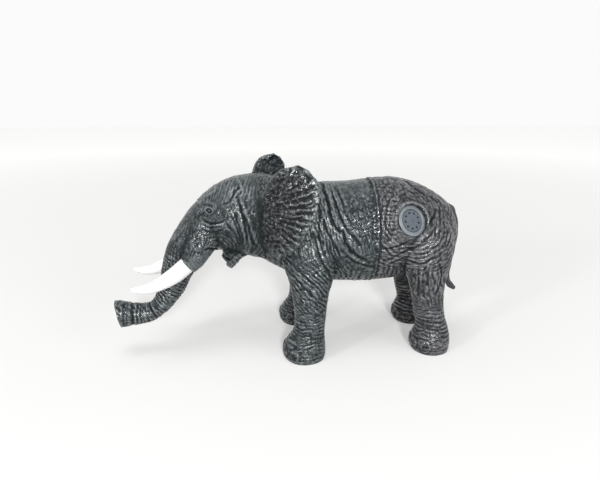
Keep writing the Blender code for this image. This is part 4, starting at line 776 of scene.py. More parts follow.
# %% [markdown]
# ## Head
# The head carries the portrait: a small eye in rings of folds, a ridge from the brow to the crown, the
# hollow of the temple, deep folds where the neck begins and a soft mouth under the tusk. The lines
# were drawn on the head as it is before its turn. Ridges are creases with their depth reversed.
# %% Eye, brow, neck and mouth
EYE, EYE_RADIUS, EYE_STRETCH, LID_FOLD = (-88.6, 142.8), 1.6, 1.3, 2.4
MOUTH, MOUTH_FOLD = (-85.0, 105.0), 3.2
FACE_SIDE, MOUTH_START, MOUTH_REACH = (10.0, 18.0), (-96.0, -88.0), (7.0, 21.0, 3.0)
NECK_FOLD, NECK_PLACES, NECK_HEIGHTS = 3.6, (-66.0, -40.0, 5.0), (96.0, 150.0, 8.0)
CROWN_FOLD, UPWARDS, CROWN_HEIGHTS = 3.4, (0.3, 0.7), (135.0, 150.0)
HEAD_FOLDS = (
    (((-64, 156), (-62, 145), (-60, 133), (-58, 122), (-57, 112)), 1.2, 1.3),
    (((-67, 144), (-66, 135), (-63, 125), (-61, 116), (-62, 108)), 1.0, 1.2),
    (((-71, 141), (-68, 133), (-65, 123), (-63, 115), (-65, 107)), 0.9, 1.1),
    (((-61, 141), (-57, 131), (-54, 120), (-51, 111), (-47, 108)), 1.1, 1.3),
    (((-76, 134), (-72, 128), (-67, 121), (-65, 114), (-68, 108)), 0.6, 1.0),
    (((-95, 137), (-91, 133.5), (-87, 132.5), (-80, 133), (-76, 136)), 0.6, 0.9),
    (((-96, 133), (-91, 129.5), (-85, 129), (-79, 130)), 0.5, 0.9),
    (((-97, 129), (-91, 125.5), (-84, 125.5), (-78, 127)), 0.5, 0.9),
    (((-58, 162), (-64, 160), (-68, 155), (-73, 150), (-77, 149)), 0.9, 1.2),
    (((-58, 160), (-63, 156), (-66, 153)), 0.5, 0.9),
    (((-97, 153.5), (-93, 148.5), (-87, 149.5), (-80, 154), (-74, 161), (-68, 167)), 0.25, 0.9),
    (((-101, 151), (-96, 147), (-90, 152), (-82, 157), (-77, 164), (-71, 170), (-65, 173)), -0.75, 0.9),
    (((-93, 146.5), (-89, 147.5), (-85, 146.5)), 0.6, 0.8),
    (((-61, 169), (-59, 163), (-60, 158)), -0.5, 1.2),
    (((-82.5, 103), (-84, 106), (-88, 109), (-92, 110), (-95, 108)), 1.4, 1.1),
    (((-82, 103), (-77, 95), (-73, 92), (-67, 96), (-63, 99)), 0.8, 1.1),
    (((-80, 112), (-77, 106), (-72, 101)), 0.5, 0.9),
    (((-84, 117), (-79, 113), (-75, 107), (-70, 103)), 0.5, 0.9),
)
for path, depth, width in HEAD_FOLDS:
    crease(head, path, depth, width)

from_eye = np.hypot(head_x - EYE[0], EYE_STRETCH * (head_z - EYE[1]))
from_rim = from_eye - EYE_RADIUS
beside_face = before_neck * ease(np.abs(head_y), *FACE_SIDE)
loose = 0.5 + 0.5 * ease(cloud(body, 5.0, 11), -0.5, 0.3)
press(-np.sqrt(np.clip(1 - (from_eye / (EYE_RADIUS + 0.4)) ** 2, 0, 1)) * beside_face, 0.8)
press(bell(from_rim - 0.3, 0.5) * beside_face, 0.7)
press(-bell(from_rim - 1.3, 0.7) * beside_face * loose, 0.7)
lid_rings = stripes(from_rim - 3.0, LID_FOLD, rippling=1.8, narrow=2.5) * window(from_rim, 2.8, 7.9, 1.0)
press(lid_rings * beside_face * ease(cloud(body, 4.0, 11), -0.3, 0.5), 0.34)
eye = beside_face * (1 - ease(from_rim, -0.3, 0.5))

from_mouth = np.hypot(head_x - MOUTH[0], head_z - MOUTH[1])
beside_mouth = window(from_mouth, *MOUTH_REACH) * beside_face * ease(head_x, *MOUTH_START)
press(stripes(from_mouth, MOUTH_FOLD, drifting=1.0, narrow=2.0) * beside_mouth, 0.24)
neck = window(head_x, *NECK_PLACES) * window(head_z, *NECK_HEIGHTS) * plain
press(stripes(head_x - 0.25 * head_z, NECK_FOLD, drifting=1.5, narrow=2.0) * neck * broken, 0.24)
crown = ease(facing[:, 2], *UPWARDS) * before_neck * ease(head_z, *CROWN_HEIGHTS)
press(stripes(head_x + 0.5 * np.abs(head_y), CROWN_FOLD, drifting=2.0, rippling=1.0) * crown, 0.24)
print("head folds:", len(HEAD_FOLDS), "corners of the eyes:", int((eye > 0.5).sum()))

# %% [markdown]
# ## Trunk
# A trunk is a tube of rings. They are faint under the brow, where long folds run down its side, deep
# further down, and fainter again on the collar at the tip, behind which a groove runs round. The rings
# are stripes over the way along the trunk's middle line, and two nostrils are sunk into the tip.
# %% Trunk rings
TRUNK_RING, BROW_RING, SIDE_FOLD, TRUNK_COLLAR, COLLAR_EDGE = 3.1, 2.9, 3.4, 12.0, 2.0
TRUNK_START, TRUNK_END, DEEP_RINGS, BROW_RINGS_END = (8.0, 20.0), (2.0, 5.0), (26.0, 58.0), (30.0, 55.0)
SIDE_PLACES, SIDE_OUT = (10.0, 52.0, 8.0), (3.0, 7.0)
BROW_WAY, BROW_FOLD, BROW_PLACES, BROW_HEIGHTS = (0.92, -0.40), 3.0, (-10.0, 6.0, 3.0), (103.0, 139.0, 5.0)
# Grooves round the trunk: way back from the tip, width, depth
TRUNK_GROOVES = ((TRUNK_COLLAR + 1.5, 1.3, 0.9), (33.0, 1.5, 0.5), (38.5, 1.3, 0.5), (3.5, 1.6, -0.35))
NOSTRIL_SPREAD, NOSTRIL_STRETCH, NOSTRIL_DEPTH = 4.3, 1.15, 4.5
NOSTRIL_EDGE, NOSTRIL_FLOOR = (1.6, 3.9), (-3.0, -0.8)
along, tip = trunk_place, trunk_length[-1]
from_tip, out = along - tip, np.abs(head_y)
on_trunk = ease(along, *TRUNK_START) * (1 - ease(from_tip, *TRUNK_END))
ringed = ease(along, *DEEP_RINGS) * (1 - 0.55 * ease(from_tip, -TRUNK_COLLAR - COLLAR_EDGE, -TRUNK_COLLAR))
trunk_rings = stripes(along, TRUNK_RING, wobbling=0.9, rippling=0.5, narrow=2.0)
press(trunk_rings * ringed * on_trunk * (0.35 + 0.65 * broken), 0.46)
brow_rings = stripes(along, BROW_RING, wobbling=1.2, rippling=0.8)
press(brow_rings * on_trunk * (1 - ease(along, *BROW_RINGS_END)), 0.25)
for back, width, depth in TRUNK_GROOVES:
    press(bell(from_tip + back, width), depth)
lengthways = stripes(1.5 * out, SIDE_FOLD, wobbling=0.8, rippling=0.3, narrow=2.0)
press(lengthways * window(along, *SIDE_PLACES) * ease(out, *SIDE_OUT), 0.34)

beside_trunk = BROW_WAY[0] * (head_x - EYE[0]) + BROW_WAY[1] * (head_z - EYE[1])
trunk_side = window(beside_trunk, *BROW_PLACES) * window(head_z, *BROW_HEIGHTS) * beside_face
wrinkled = stripes(beside_trunk, BROW_FOLD, wobbling=0.8, rippling=1.1, narrow=2.0)
press(wrinkled * trunk_side * broken, 0.30)
press(cloud(body, 2.4, 14) * trunk_side, 0.16)

end_way, from_end = tangent[-1], head - trunk_line[-1]
upwards = np.array([-end_way[2], 0.0, end_way[0]])
for nostril_side in (-1, 1):
    away = np.hypot(from_end @ upwards, NOSTRIL_STRETCH * (head_y - nostril_side * NOSTRIL_SPREAD))
    sunk = ease(from_end @ end_way, *NOSTRIL_FLOOR) * (along > 0)
    press((1 - ease(away, *NOSTRIL_EDGE)) * sunk, NOSTRIL_DEPTH)
print("trunk rings:", int((tip - TRUNK_COLLAR) / TRUNK_RING))

# %% [markdown]
# ## Ears
# The ear is thin and fans out from its root in ribs, with a rim that curls and waves. The ribs are
# stripes over the angle round the root, so they spread towards the rim as they do on the casting, and
# because the skin moves along its normal, they also scallop the rim.
# %% Ear ribs
EAR_FAN_SHARES = (-0.04, 0.51)
EAR_RIBS, RIB_DEPTH = 21, 0.75
RIBS_START, FINE_RIBS_START, ROOT_GROOVE, EAR_RIM = (0.28, 0.70), (0.3, 0.8), (0.06, 0.05), (0.86, 0.98)
DARK_DEPTH, DARK_LOW, DARK_TOP, FAR_EAR_DARK = (0.74, 0.94), (0.62, 0.85), (0.03, 0.16), 0.25
fan_x, fan_z = head_point(EAR_START_SHARE, EAR_FOOT_SHARE)
straight = turn_head(rest, -1, True)
out_x = (straight[:, 0] - fan_x - EAR_FAN_SHARES[0] * EAR_LENGTH) / MM
out_z = (straight[:, 2] - fan_z - EAR_FAN_SHARES[1] * EAR_HEIGHT) / MM
fan = EAR_RIBS * np.arctan2(out_z, out_x) / math.pi + 0.16 * drift + 0.08 * ripple
fine_fan = 2 * fan + 0.5 + 0.6 * ripple
for amount, depth in (
    (furrows(fan, 1.6) * ease(ear_depth, *RIBS_START) * (0.3 + 0.7 * broken), RIB_DEPTH),
    (furrows(fine_fan, 2.0) * ease(ear_depth, *FINE_RIBS_START) * broken, 0.22),
    (cloud(body, 4.0, 10), 0.20),
    (cloud(body, 1.8, 9), 0.38),
    (bell(ear_depth - ROOT_GROOVE[0], ROOT_GROOVE[1]), 0.5),
    (ease(ear_depth, *EAR_RIM), -0.35),
):
    press(ear_share * amount, depth)
ear_dark = ear_share * (1 - 0.8 * ease(ear_depth, *DARK_DEPTH)) * (1 - 0.75 * ease(ear_drop, *DARK_LOW))
ear_dark *= (0.45 + 0.55 * ease(ear_drop, *DARK_TOP)) * np.where(y > 0, FAR_EAR_DARK, 1.0)
print("height of the skin in mm:", round(float(height.min()), 2), "to", round(float(height.max()), 2))

# %% [markdown]
# ## Run of the finest wrinkles
# Wrinkles finer than a millimetre are left to the material, but they must run as the folds do: round
# the legs and the trunk, in arcs over the hip, out along the ears. Each corner gets one number in
# millimetres that stays the same along the wrinkles and grows across them, and the material draws long
# cells over it. A second number says where the casting is calm and the wrinkles are faint. Below zero it
# marks the lively places, at the shoulder, the trunk and the ears, where the crests shine in specks.
# %% Way across the wrinkles
UPPER_LEG, RAISED_FOOT, EYE_REACH, MOUTH_CORNER = (88.0, 104.0), (44.0, 60.0), (8.0, 16.0), (14.0, 26.0)
BACK_HEIGHTS, BACK_START, CALM_SPOT, CALM_REACH = (144.0, 160.0), (14.0, 34.0), (101.0, 99.0), (6.0, 11.0)
LIVELY_EAR = (0.15, 0.85, 0.15)
across = x + 0.3 * z
for share, value in (
    (at_rear * above_thigh, from_hip + 60.0),
    (at_rear * (1 - above_thigh), x + 0.15 * z),
    (at_front * (1 - ease(z, *UPPER_LEG)), (x + z) / math.sqrt(2)),
    (1 - ease(z, *RAISED_FOOT), z + 10.0),
    (before_neck, head_x - 0.3 * head_z + 60.0),
    (before_neck * (1 - ease(from_eye, *EYE_REACH)), from_eye),
    (before_neck * (1 - ease(from_mouth, *MOUTH_CORNER)), from_mouth),
    (on_trunk * (trunk_place >= 0), along + 20.0),
    (trunk_side, beside_trunk + 40.0),
    (ear_share, 34.0 * fan / EAR_RIBS * math.pi),
):
    across = across + share * (value - across)
across += 0.5 * drift
from_spot = np.hypot(head_x + CALM_SPOT[0], head_z - CALM_SPOT[1])
calm = np.maximum.reduce([0.6 * at_front * ease(z, *BACK_HEIGHTS) * ease(x, *BACK_START), 0.55 * crown,
                          0.8 * before_neck * (1 - ease(from_spot, *CALM_REACH)), 0.2 * (from_tip > -TRUNK_COLLAR)])
lively = np.maximum.reduce([specked, 0.8 * trunk_side, 0.9 * ear_share * window(ear_depth, *LIVELY_EAR)])
calm = calm * (1 - ear_share) - lively
print("run of the wrinkles in mm:", round(float(across.min()), 1), "to", round(float(across.max()), 1))

# %% [markdown]
# ## Move the skin
# Each corner moves along its own normal by its height. The two halves were cast apart, so they are
# moved apart too: the front half ends in a rim that stands a little proud, most of all along the back,
# and the rear half is drawn in under it. The lip of the sound unit rises only on the rear half.
# %% Two skins from one form
RIM_PROUD, RIM_LENGTH, RIM_HEIGHTS, REAR_SUNK, REAR_START = 0.55, 3.0, (135.0, 162.0), 0.35, (0.8, 2.2)
UNIT_REACH, SEAT_EDGE, LIP_AWAY, LIP_WIDTH, UPPER_RIGHT, LIP_TURN = 14, (0.5, 7.0), 2.2, 2.0, (0.6, 0.8), (-0.3, 0.7)
HOLLOW_ROUNDS, HOLLOW_DEEP = 8, 0.46
UNIT_PLACE_SHARE, UNIT_HEIGHT_SHARE = 0.722, 0.788
UNIT_TURN, UNIT_TILT, UNIT_SINK = math.radians(21.0), math.radians(25.0), 0.0010
BEZEL_DIAMETER = 0.0284


def torso_at(at):
    """Top, bottom and half width of the torso at one place or at several."""
    place, *columns = torso_table()
    return (np.interp(at, place, column) for column in columns)


def unit_axes():
    """Turn and place of the sound unit: its own +Z points out of the flank."""
    at_x, at_z = UNIT_PLACE_SHARE * TORSO_LENGTH - CHEST_REACH, UNIT_HEIGHT_SHARE * BACK_HEIGHT
    high, low, half = torso_at(at_x)
    rise = (at_z - (high + low) / 2) / ((high - low) / 2)
    out = Vector((math.sin(UNIT_TURN) * math.cos(UNIT_TILT), -math.cos(UNIT_TURN) * math.cos(UNIT_TILT),
                  math.sin(UNIT_TILT)))
    along_flank = Vector((math.cos(UNIT_TURN), math.sin(UNIT_TURN), 0.0))
    axes = Matrix((along_flank, out.cross(along_flank), out)).transposed().to_4x4()
    axes.translation = Vector((at_x, -half * math.sqrt(1 - rise ** 2), at_z)) - out * UNIT_SINK
    return axes


unit = unit_axes()
to_unit = np.array(unit.inverted())
in_unit = (rest @ to_unit[:3, :3].T + to_unit[:3, 3]) / MM
from_axis = np.hypot(in_unit[:, 0], in_unit[:, 1])
by_unit = (y < 0) & (np.abs(in_unit[:, 2]) < UNIT_REACH)
from_bezel = from_axis - BEZEL_DIAMETER / 2 / MM
to_upper_right = in_unit[:, :2] @ np.array(UPPER_RIGHT) / np.maximum(from_axis, 0.1)
flat_seat = (1 - ease(from_bezel, *SEAT_EDGE)) * by_unit
lip = bell(from_bezel - LIP_AWAY, LIP_WIDTH) * by_unit * (0.30 + 1.05 * ease(to_upper_right, *LIP_TURN))

to_waist = WAIST_PLACE / MM - x
rim = (0.5 + 1.1 * ease(z, *RIM_HEIGHTS)) * (1 - ease(to_waist, RIM_LENGTH * 0.6, RIM_LENGTH))
front_height = height + RIM_PROUD * rim * plain
rear_height = (height - REAR_SUNK * (1 - ease(-to_waist, *REAR_START))) * (1 - 0.9 * flat_seat) + lip
# Dark marks: toenails, eyes and the trunk darker towards its tip, plus painted shade in the neck's folds.
dark = np.maximum.reduce([0.55 * nail, eye, 0.28 * neck, 0.35 * ease(from_tip, -TRUNK_COLLAR - 1, 0.0)])


def skin_half(name, heights):
    """A copy of the form with its corners moved, and with the shade that its own hollows give it."""
    mesh = skin.data.copy()
    moved = rest + facing * heights[:, None] * MM
    put_points(mesh, moved)
    for what, values in (("hollow", hollowness(mesh, moved)), ("ear", ear_dark), ("across", across),
                         ("calm", calm), ("dark", dark)):
        put_attribute(mesh, what, values)
    return object_of(name, mesh)


def hollowness(mesh, points):
    """How far a corner lies under the mean of its surroundings, along its normal: 1 in valleys, -1 on ridges."""
    ends = np.zeros(len(mesh.edges) * 2, np.int32)
    mesh.edges.foreach_get("vertices", ends)
    a, b = ends.reshape(-1, 2).T
    count = np.bincount(a, minlength=len(points)) + np.bincount(b, minlength=len(points))
    blurred = points.copy()
    for _ in range(HOLLOW_ROUNDS):
        blurred = np.stack([(np.bincount(a, blurred[b, axis], len(points))
                             + np.bincount(b, blurred[a, axis], len(points))) / count for axis in range(3)], axis=1)
    below = ((blurred - points) * points_of(mesh, "normal")).sum(axis=1) / MM
    return np.clip(below / HOLLOW_DEEP, -1.0, 1.0)


front_skin = skin_half("front_skin", front_height)
rear_skin = skin_half("rear_skin", rear_height)
print("moved corners:", len(rest))

# %% [markdown]
# ## Cut the halves
# A casting is a shell, so both halves get the wall that the solids have: the hollow is cut out of
# them, then the sockets of the tusks and the tail and the seat of the unit. Booleans keep the outside
# as it is. At the end each half is thinned, which takes faces from the smooth places first.
# %% Waist, hollow and sockets
CUT_OVERRUN = 0.0020
COLLAR_LENGTH, COLLAR_WALL, COLLAR_STEP = 0.0085, 0.0020, 0.0006
BEZEL_FLANGE, BEZEL_BARREL, BOSS_WALL, BOSS_DIAMETER = 0.0014, 0.0244, 0.0045, 0.040
HOUSING_BORE, HOUSING_WALL, HOUSING_DEPTH = 0.0306, 0.0015, 0.0275
HALF_TRIANGLES, SLICE_ROWS, BOX_REACH = 186000, 5, 0.4


def rod(name, radius, start, end, place=unit, sides=96):
    """A round cutter along the unit's axis, between two depths."""
    shape = bmesh.new()
    bmesh.ops.create_cone(shape, cap_ends=True, segments=sides, radius1=radius, radius2=radius,
                          depth=abs(end - start), matrix=Matrix.Translation((0.0, 0.0, -(start + end) / 2)))
    shape.transform(place)
    return object_from(name, shape)


def box(name, low, high, place=Matrix()):
    """A box between two corners."""
    low, high = Vector(low), Vector(high)
    shape = bmesh.new()
    bmesh.ops.create_cube(shape, size=1.0, matrix=place @ Matrix.Translation((low + high) / 2)
                          @ Matrix.Diagonal((*(high - low), 1.0)))
    return object_from(name, shape)


def torso_slice(name, start, end, inset):
    """A slice of the torso's form between two places, drawn in by an inset."""
    at = np.linspace(start, end, SLICE_ROWS)
    high, low, half = torso_at(at)
    return loft(name, rings_of(*upright_rows(at, high - inset, at, low + inset, half - inset)))


def tusk_rows(side, growth=0.0):
    rows = smooth_rows(TUSK_SHARES)
    start_x, start_z = head_point(TUSK_START_SHARE, TUSK_HEIGHT_SHARE)
    path = np.stack([start_x - rows[:, 0] * TUSK_LENGTH, side * (TUSK_SPREAD / 2 + rows[:, 2] * TUSK_SPLAY),
                     start_z - rows[:, 1] * TUSK_LENGTH], axis=1)
    return tube_rows(path, rows[:, 3] * TUSK_DIAMETER + 2 * growth)


def tail_rows(growth=0.0):
    rows = smooth_rows(TAIL_SHARES)
    path = np.stack([TORSO_LENGTH - CHEST_REACH + rows[:, 0] * TAIL_DROP, np.zeros(len(rows)),
                     TAIL_START_SHARE * BACK_HEIGHT - rows[:, 1] * TAIL_DROP], axis=1)
    return tube_rows(path, rows[:, 2] * TAIL_DIAMETER + 2 * growth)


def thin(made, triangles):
    """Fewer faces, down to a number of triangles, where the skin is smoothest."""
    made.data.calc_loop_triangles()
    share = triangles / len(made.data.loop_triangles)
    if share < 1.0:
        made.modifiers.new("thin", "DECIMATE").ratio = share
        settle(made)
    return made


def placed(made, body_name="toy"):
    """Move a finished piece to where the solids stand, shade it and let it ride on its body."""
    made.data.transform(Matrix.Translation(Vector(shift)))
    made.data.shade_smooth()
    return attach(made, body_name)


seat_depth = BEZEL_FLANGE + FIT_GAP
boss_depth = seat_depth + BOSS_WALL
outer_step = SKIN_WALL - COLLAR_STEP
boss = rod("boss", BOSS_DIAMETER / 2, -BOSS_DIAMETER / 2, boss_depth)
combine(hollow, boss)
front_end, rear_start = WAIST_PLACE - WAIST_GAP / 2, WAIST_PLACE + WAIST_GAP / 2
front_box = box("front box", (-BOX_REACH, -BOX_REACH / 2, 0.0), (front_end, BOX_REACH / 2, BOX_REACH))
rear_box = box("rear box", (rear_start, -BOX_REACH / 2, 0.0), (BOX_REACH, BOX_REACH / 2, BOX_REACH))
collar_start = WAIST_PLACE - COLLAR_LENGTH
seat = torso_slice("collar seat", collar_start - FIT_GAP, WAIST_PLACE + SKIN_WALL, outer_step - FIT_GAP)
neck_ring = torso_slice("collar neck", collar_start, WAIST_PLACE + SKIN_WALL, outer_step)
root_ring = torso_slice("collar root", WAIST_PLACE + WAIST_GAP, WAIST_PLACE + COLLAR_LENGTH, SKIN_WALL / 2)
ring_bore = torso_slice("collar bore", collar_start - CUT_OVERRUN, WAIST_PLACE + COLLAR_LENGTH + CUT_OVERRUN,
                        outer_step + COLLAR_WALL)
combine(combine(neck_ring, root_ring, "UNION"), ring_bore)

combine(front_skin, front_box, "INTERSECT")
for cutter in (hollow, seat):
    combine(front_skin, cutter)
for tusk_side in (-1, 1):
    socket = loft("tusk socket", turn_head(rings_of(*tusk_rows(tusk_side, FIT_GAP))))
    combine(front_skin, socket)
    remove(socket)

combine(rear_skin, rear_box, "INTERSECT")
combine(combine(rear_skin, hollow), neck_ring, "UNION")
tail_socket = loft("tail socket", rings_of(*tail_rows(FIT_GAP)))
recess = rod("recess", BEZEL_DIAMETER / 2 + FIT_GAP, -BOSS_DIAMETER / 2, seat_depth)
barrel = rod("barrel", BEZEL_BARREL / 2 + FIT_GAP, 0.0, boss_depth + CUT_OVERRUN)
room = rod("room", HOUSING_BORE / 2 + HOUSING_WALL + FIT_GAP, boss_depth, HOUSING_DEPTH)
for cutter in (tail_socket, recess, barrel, room):
    combine(rear_skin, cutter)
for half, node in ((front_skin, "front_shell"), (rear_skin, "rear_shell")):
    placed(thin(half, HALF_TRIANGLES))
    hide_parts(node)
remove(skin, hollow, boss, front_box, rear_box, seat, neck_ring, root_ring, ring_bore,
       tail_socket, recess, barrel, room)
print("corners of the halves:", len(front_skin.data.vertices), len(rear_skin.data.vertices))

# %% [markdown]
# ## Tusks and tail
# The tusks are separate smooth castings pegged into the cheeks, and the tail is a dark rope of vinyl
# that hugs the rump and ends in a free tuft. Both are tubes along their tables' paths, with the small
# swellings worked into the radius: faint growth lines on the tusk, twisted strands on the tail.
# %% Tubes with their own relief
TUSK_OVAL, GROWTH_DEPTH, GROWTH_TURNS = 0.012, 0.010, 150.0
STRANDS, STRAND_DEPTH, STRAND_TWIST = 4, 0.10, 46.0
TUFT_START, TUFT_STRANDS, TUFT_DEPTH, TUFT_TWIST = (0.78, 0.9), 6, 0.16, 5.0


def tube_piece(name, rows, relief, in_head=False, count=96):
    """A tube whose radius is multiplied by a relief over the way along (0 to 1) and the angle round it."""
    fronts, backs, sides = rows
    rings = rings_of(fronts, backs, sides, count=count)
    place = np.linspace(0.0, 1.0, len(rings))[:, None]
    angle = np.linspace(0.0, 2 * math.pi, count, endpoint=False)[None, :]
    centre = ((fronts + backs) / 2)[:, None]
    rings = centre + (rings - centre) * relief(place, angle)[..., None]
    return placed(loft(name, turn_head(rings) if in_head else rings))


def tusk_relief(place, angle):
    """Fine growth rings near the root and a slight oval."""
    return 1.0 + TUSK_OVAL * np.cos(2 * angle) + GROWTH_DEPTH * np.cos(place * GROWTH_TURNS) * ease(place, 0.75, 0.25)


def tail_relief(place, angle):
    """Four strands twisted round the tail, deeper and finer in the tuft."""
    tuft = ease(place, *TUFT_START)
    rope = STRAND_DEPTH * (np.cos(STRANDS * angle + STRAND_TWIST * place) - 0.5)
    return 1.0 + rope * (1 - tuft) + tuft * TUFT_DEPTH * np.cos(TUFT_STRANDS * angle + TUFT_TWIST * place)


def denser(rows, times=3):
    """The same rows with more between them, by straight steps."""
    count = len(rows[0])
    at = np.linspace(0, count - 1, (count - 1) * times + 1)
    return tuple(rows_at(at, np.arange(count), part) for part in rows)


tusks = []
for tusk_side, name in ((-1, "tusk_left"), (1, "tusk_right")):
    tusk = tube_piece(name + "_casting", denser(tusk_rows(tusk_side)), tusk_relief, True)
    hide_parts(name)
    tusks.append(tusk)
tail = tube_piece("tail_casting", denser(tail_rows()), tail_relief, count=48)
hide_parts("tail")
print("corners of a tusk and of the tail:", len(tusks[0].data.vertices), len(tail.data.vertices))

# %% [markdown]
# ## Sound unit
# A stepped ring is pushed into the flank, and a disc with ten holes moves in it. Both are turned
# parts: a profile of radius and depth, carried round the unit's axis. The holes are drilled with a
# slight countersink, as moulded plastic has soft rims. A prong at the button's rim reaches back to the
# switch. The wire spring between the button and its seat is drawn along a helix.
# %% Bezel and button
BEZEL_BORE, BEZEL_COUNTERBORE, BEZEL_DEPTH, COUNTERBORE_START = 0.0212, 0.0228, 0.0106, 0.0042
BUTTON_RECESS, BUTTON_FACE, BUTTON_DEPTH, BUTTON_SKIRT_WALL = 0.0008, 0.0016, 0.0058, 0.0012
BUTTON_HOLE, HOLE_CIRCLE, OUTER_HOLES = 0.0018, 0.0147, 9
SPRING_WIRE, SPRING_TURNS, SEAT_THICKNESS, PRONG_WIDTH, PRONG_END = 0.0006, 2, 0.0010, 0.0028, 0.0126
TURN_SIDES, MERGE_DISTANCE, SPRING_SIDES, SPRING_STEPS = 160, 0.00001, 16, 48
RIM_DEPTH, SHARP_ANGLE = 0.0009, math.radians(32)


def turned(name, profile):
    """A closed profile of radius and depth carried round the unit's axis."""
    radius, depth = np.array(profile).T
    angle = np.linspace(0.0, 2 * math.pi, TURN_SIDES, endpoint=False)[:, None]
    grid = np.stack([radius * np.cos(angle), radius * np.sin(angle), -depth + 0 * angle], axis=-1)
    here = np.arange(grid[..., 0].size).reshape(grid.shape[:2])
    ahead, down = np.roll(here, -1, axis=0), np.roll(here, -1, axis=1)
    quads = np.stack([here, ahead, np.roll(ahead, -1, axis=1), down], axis=-1).reshape(-1, 4)
    mesh = bpy.data.meshes.new(name)
    mesh.from_pydata(grid.reshape(-1, 3), [], quads.tolist())
    outward(mesh, MERGE_DISTANCE).transform(unit)
    return object_of(name, mesh)


def rounded(piece, width, angle=35.0):
    """Round the edges of a piece, where its faces meet at more than an angle."""
    edge = piece.modifiers.new("soft edges", "BEVEL")
    edge.width = width
    edge.segments = 3
    edge.limit_method = "ANGLE"
    edge.angle_limit = math.radians(angle)
    return settle(piece)


flange, bore, counterbore, sleeve = (size / 2 for size in (BEZEL_DIAMETER, BEZEL_BORE, BEZEL_COUNTERBORE,
                                                         BEZEL_BARREL))
bezel = rounded(turned("bezel_casting", [
    (flange, RIM_DEPTH), (flange, BEZEL_FLANGE), (sleeve, BEZEL_FLANGE), (sleeve, BEZEL_DEPTH),
    (counterbore, BEZEL_DEPTH), (counterbore, COUNTERBORE_START), (bore, COUNTERBORE_START), (bore, RIM_DEPTH),
    (bore + 0.0005, 0.0002), (bore + 0.0012, 0.0), (bore + 0.0014, 0.0004), (flange - 0.0006, 0.0006),
]), 0.00018)
disc_radius, lip_radius = bore - FIT_GAP, counterbore - FIT_GAP
disc_back = BUTTON_RECESS + BUTTON_FACE
spring_radius, prong_start = disc_radius - BUTTON_SKIRT_WALL / 2, COUNTERBORE_START + 2 * FIT_GAP
button = turned("button_casting", [
    (0.0, BUTTON_RECESS - 0.0002), (disc_radius * 0.6, BUTTON_RECESS - 0.0001), (disc_radius - 0.0004, BUTTON_RECESS),
    (disc_radius, BUTTON_RECESS + 0.0005), (disc_radius, COUNTERBORE_START + FIT_GAP),
    (lip_radius, COUNTERBORE_START + FIT_GAP), (lip_radius, BUTTON_DEPTH),
    (disc_radius - BUTTON_SKIRT_WALL, BUTTON_DEPTH), (disc_radius - BUTTON_SKIRT_WALL, disc_back), (0.0, disc_back),
])
for number in range(OUTER_HOLES + 1):
    turn = 2 * math.pi * (number + 0.5) / OUTER_HOLES
    radius = 0.0 if number == OUTER_HOLES else HOLE_CIRCLE / 2
    spot = unit @ Matrix.Translation((radius * math.cos(turn), radius * math.sin(turn), 0.0))
    for wide, depth in ((BUTTON_HOLE, disc_back + 0.001), (BUTTON_HOLE + 0.0005, BUTTON_RECESS + 0.0003)):
        drill = rod("drill", wide / 2, -0.001, depth, spot, 32)
        combine(button, drill)
        remove(drill)
prong_low = spring_radius + SPRING_WIRE / 2 + FIT_GAP
prong = box("prong", (-PRONG_WIDTH / 2, prong_low, -PRONG_END), (PRONG_WIDTH / 2, lip_radius, -prong_start), unit)
rounded(combine(button, prong, "UNION"), 0.00012, 50.0)
remove(prong)
for piece, node, body_name in ((bezel, "bezel_ring", "toy"), (button, "grille_button", "button")):
    placed(piece, body_name)
    piece.data.set_sharp_from_angle(angle=SHARP_ANGLE)
    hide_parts(node)

spring_start = BUTTON_DEPTH + FIT_GAP + SPRING_WIRE / 2
spring_end = BEZEL_DEPTH - SEAT_THICKNESS - FIT_GAP - SPRING_WIRE / 2
turn = np.linspace(0.0, 2 * math.pi * SPRING_TURNS, SPRING_STEPS * SPRING_TURNS + 1)
helix = np.stack([spring_radius * np.cos(turn), spring_radius * np.sin(turn),
                  -np.linspace(spring_start, spring_end, len(turn))], axis=1)
wire = tube_rows(helix, np.full(len(turn), SPRING_WIRE), (0.0, 0.0, 1.0))
spring = loft("spring_wire", rings_of(*wire, count=SPRING_SIDES))
to_row = Matrix.Translation(Vector(shift)) @ unit
spring.data.transform(to_row)
spring.data.shade_smooth()
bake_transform(spring)
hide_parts("return_spring")
print("corners of bezel, button and spring:", [len(piece.data.vertices) for piece in (bezel, button, spring)])

# %% [markdown]
# ## Node helper
# A material is a small tree of nodes. One helper adds a node and sets its inputs to numbers or links
# them to other nodes. The others name the steps that come up again and again: sums, ranges, noise,
# blends of two colours, and a shader's inputs.
# %% Nodes in one line
def add(tree, kind, inputs=(), **settings):
    """A shader node: settings are set on it, and each input gets a value or a link."""
    made = tree.nodes.new("ShaderNode" + kind)
    for setting, value in settings.items():
        setattr(made, setting, value)
    for socket, value in dict(inputs).items():
        if isinstance(value, bpy.types.NodeSocket):
            tree.links.new(value, made.inputs[socket])
        else:
            made.inputs[socket].default_value = value
    return made


def maths(tree, operation, *values, **settings):
    return add(tree, "Math", dict(enumerate(values)), operation=operation, **settings).outputs[0]


def blank(name, roughness, metallic=0.0, **more):
    """A new material and its parts: tree, shader and object coordinates."""
    made = bpy.data.materials.new(name)
    made.use_nodes = True
    tree = made.node_tree
    shader = tree.nodes["Principled BSDF"]
    shader.inputs["Roughness"].default_value = roughness
    shader.inputs["Metallic"].default_value = metallic
    for socket, value in more.items():
        shader.inputs[socket.replace("_", " ")].default_value = value
    return made, tree, shader, add(tree, "TexCoord").outputs["Object"]


def stretch(tree, value, low, high, to_low=0.0, to_high=1.0):
    """Map a value from one range to another, held at both ends."""
    return add(tree, "MapRange", {"Value": value, "From Min": low, "From Max": high, "To Min": to_low,
                                  "To Max": to_high}).outputs["Result"]


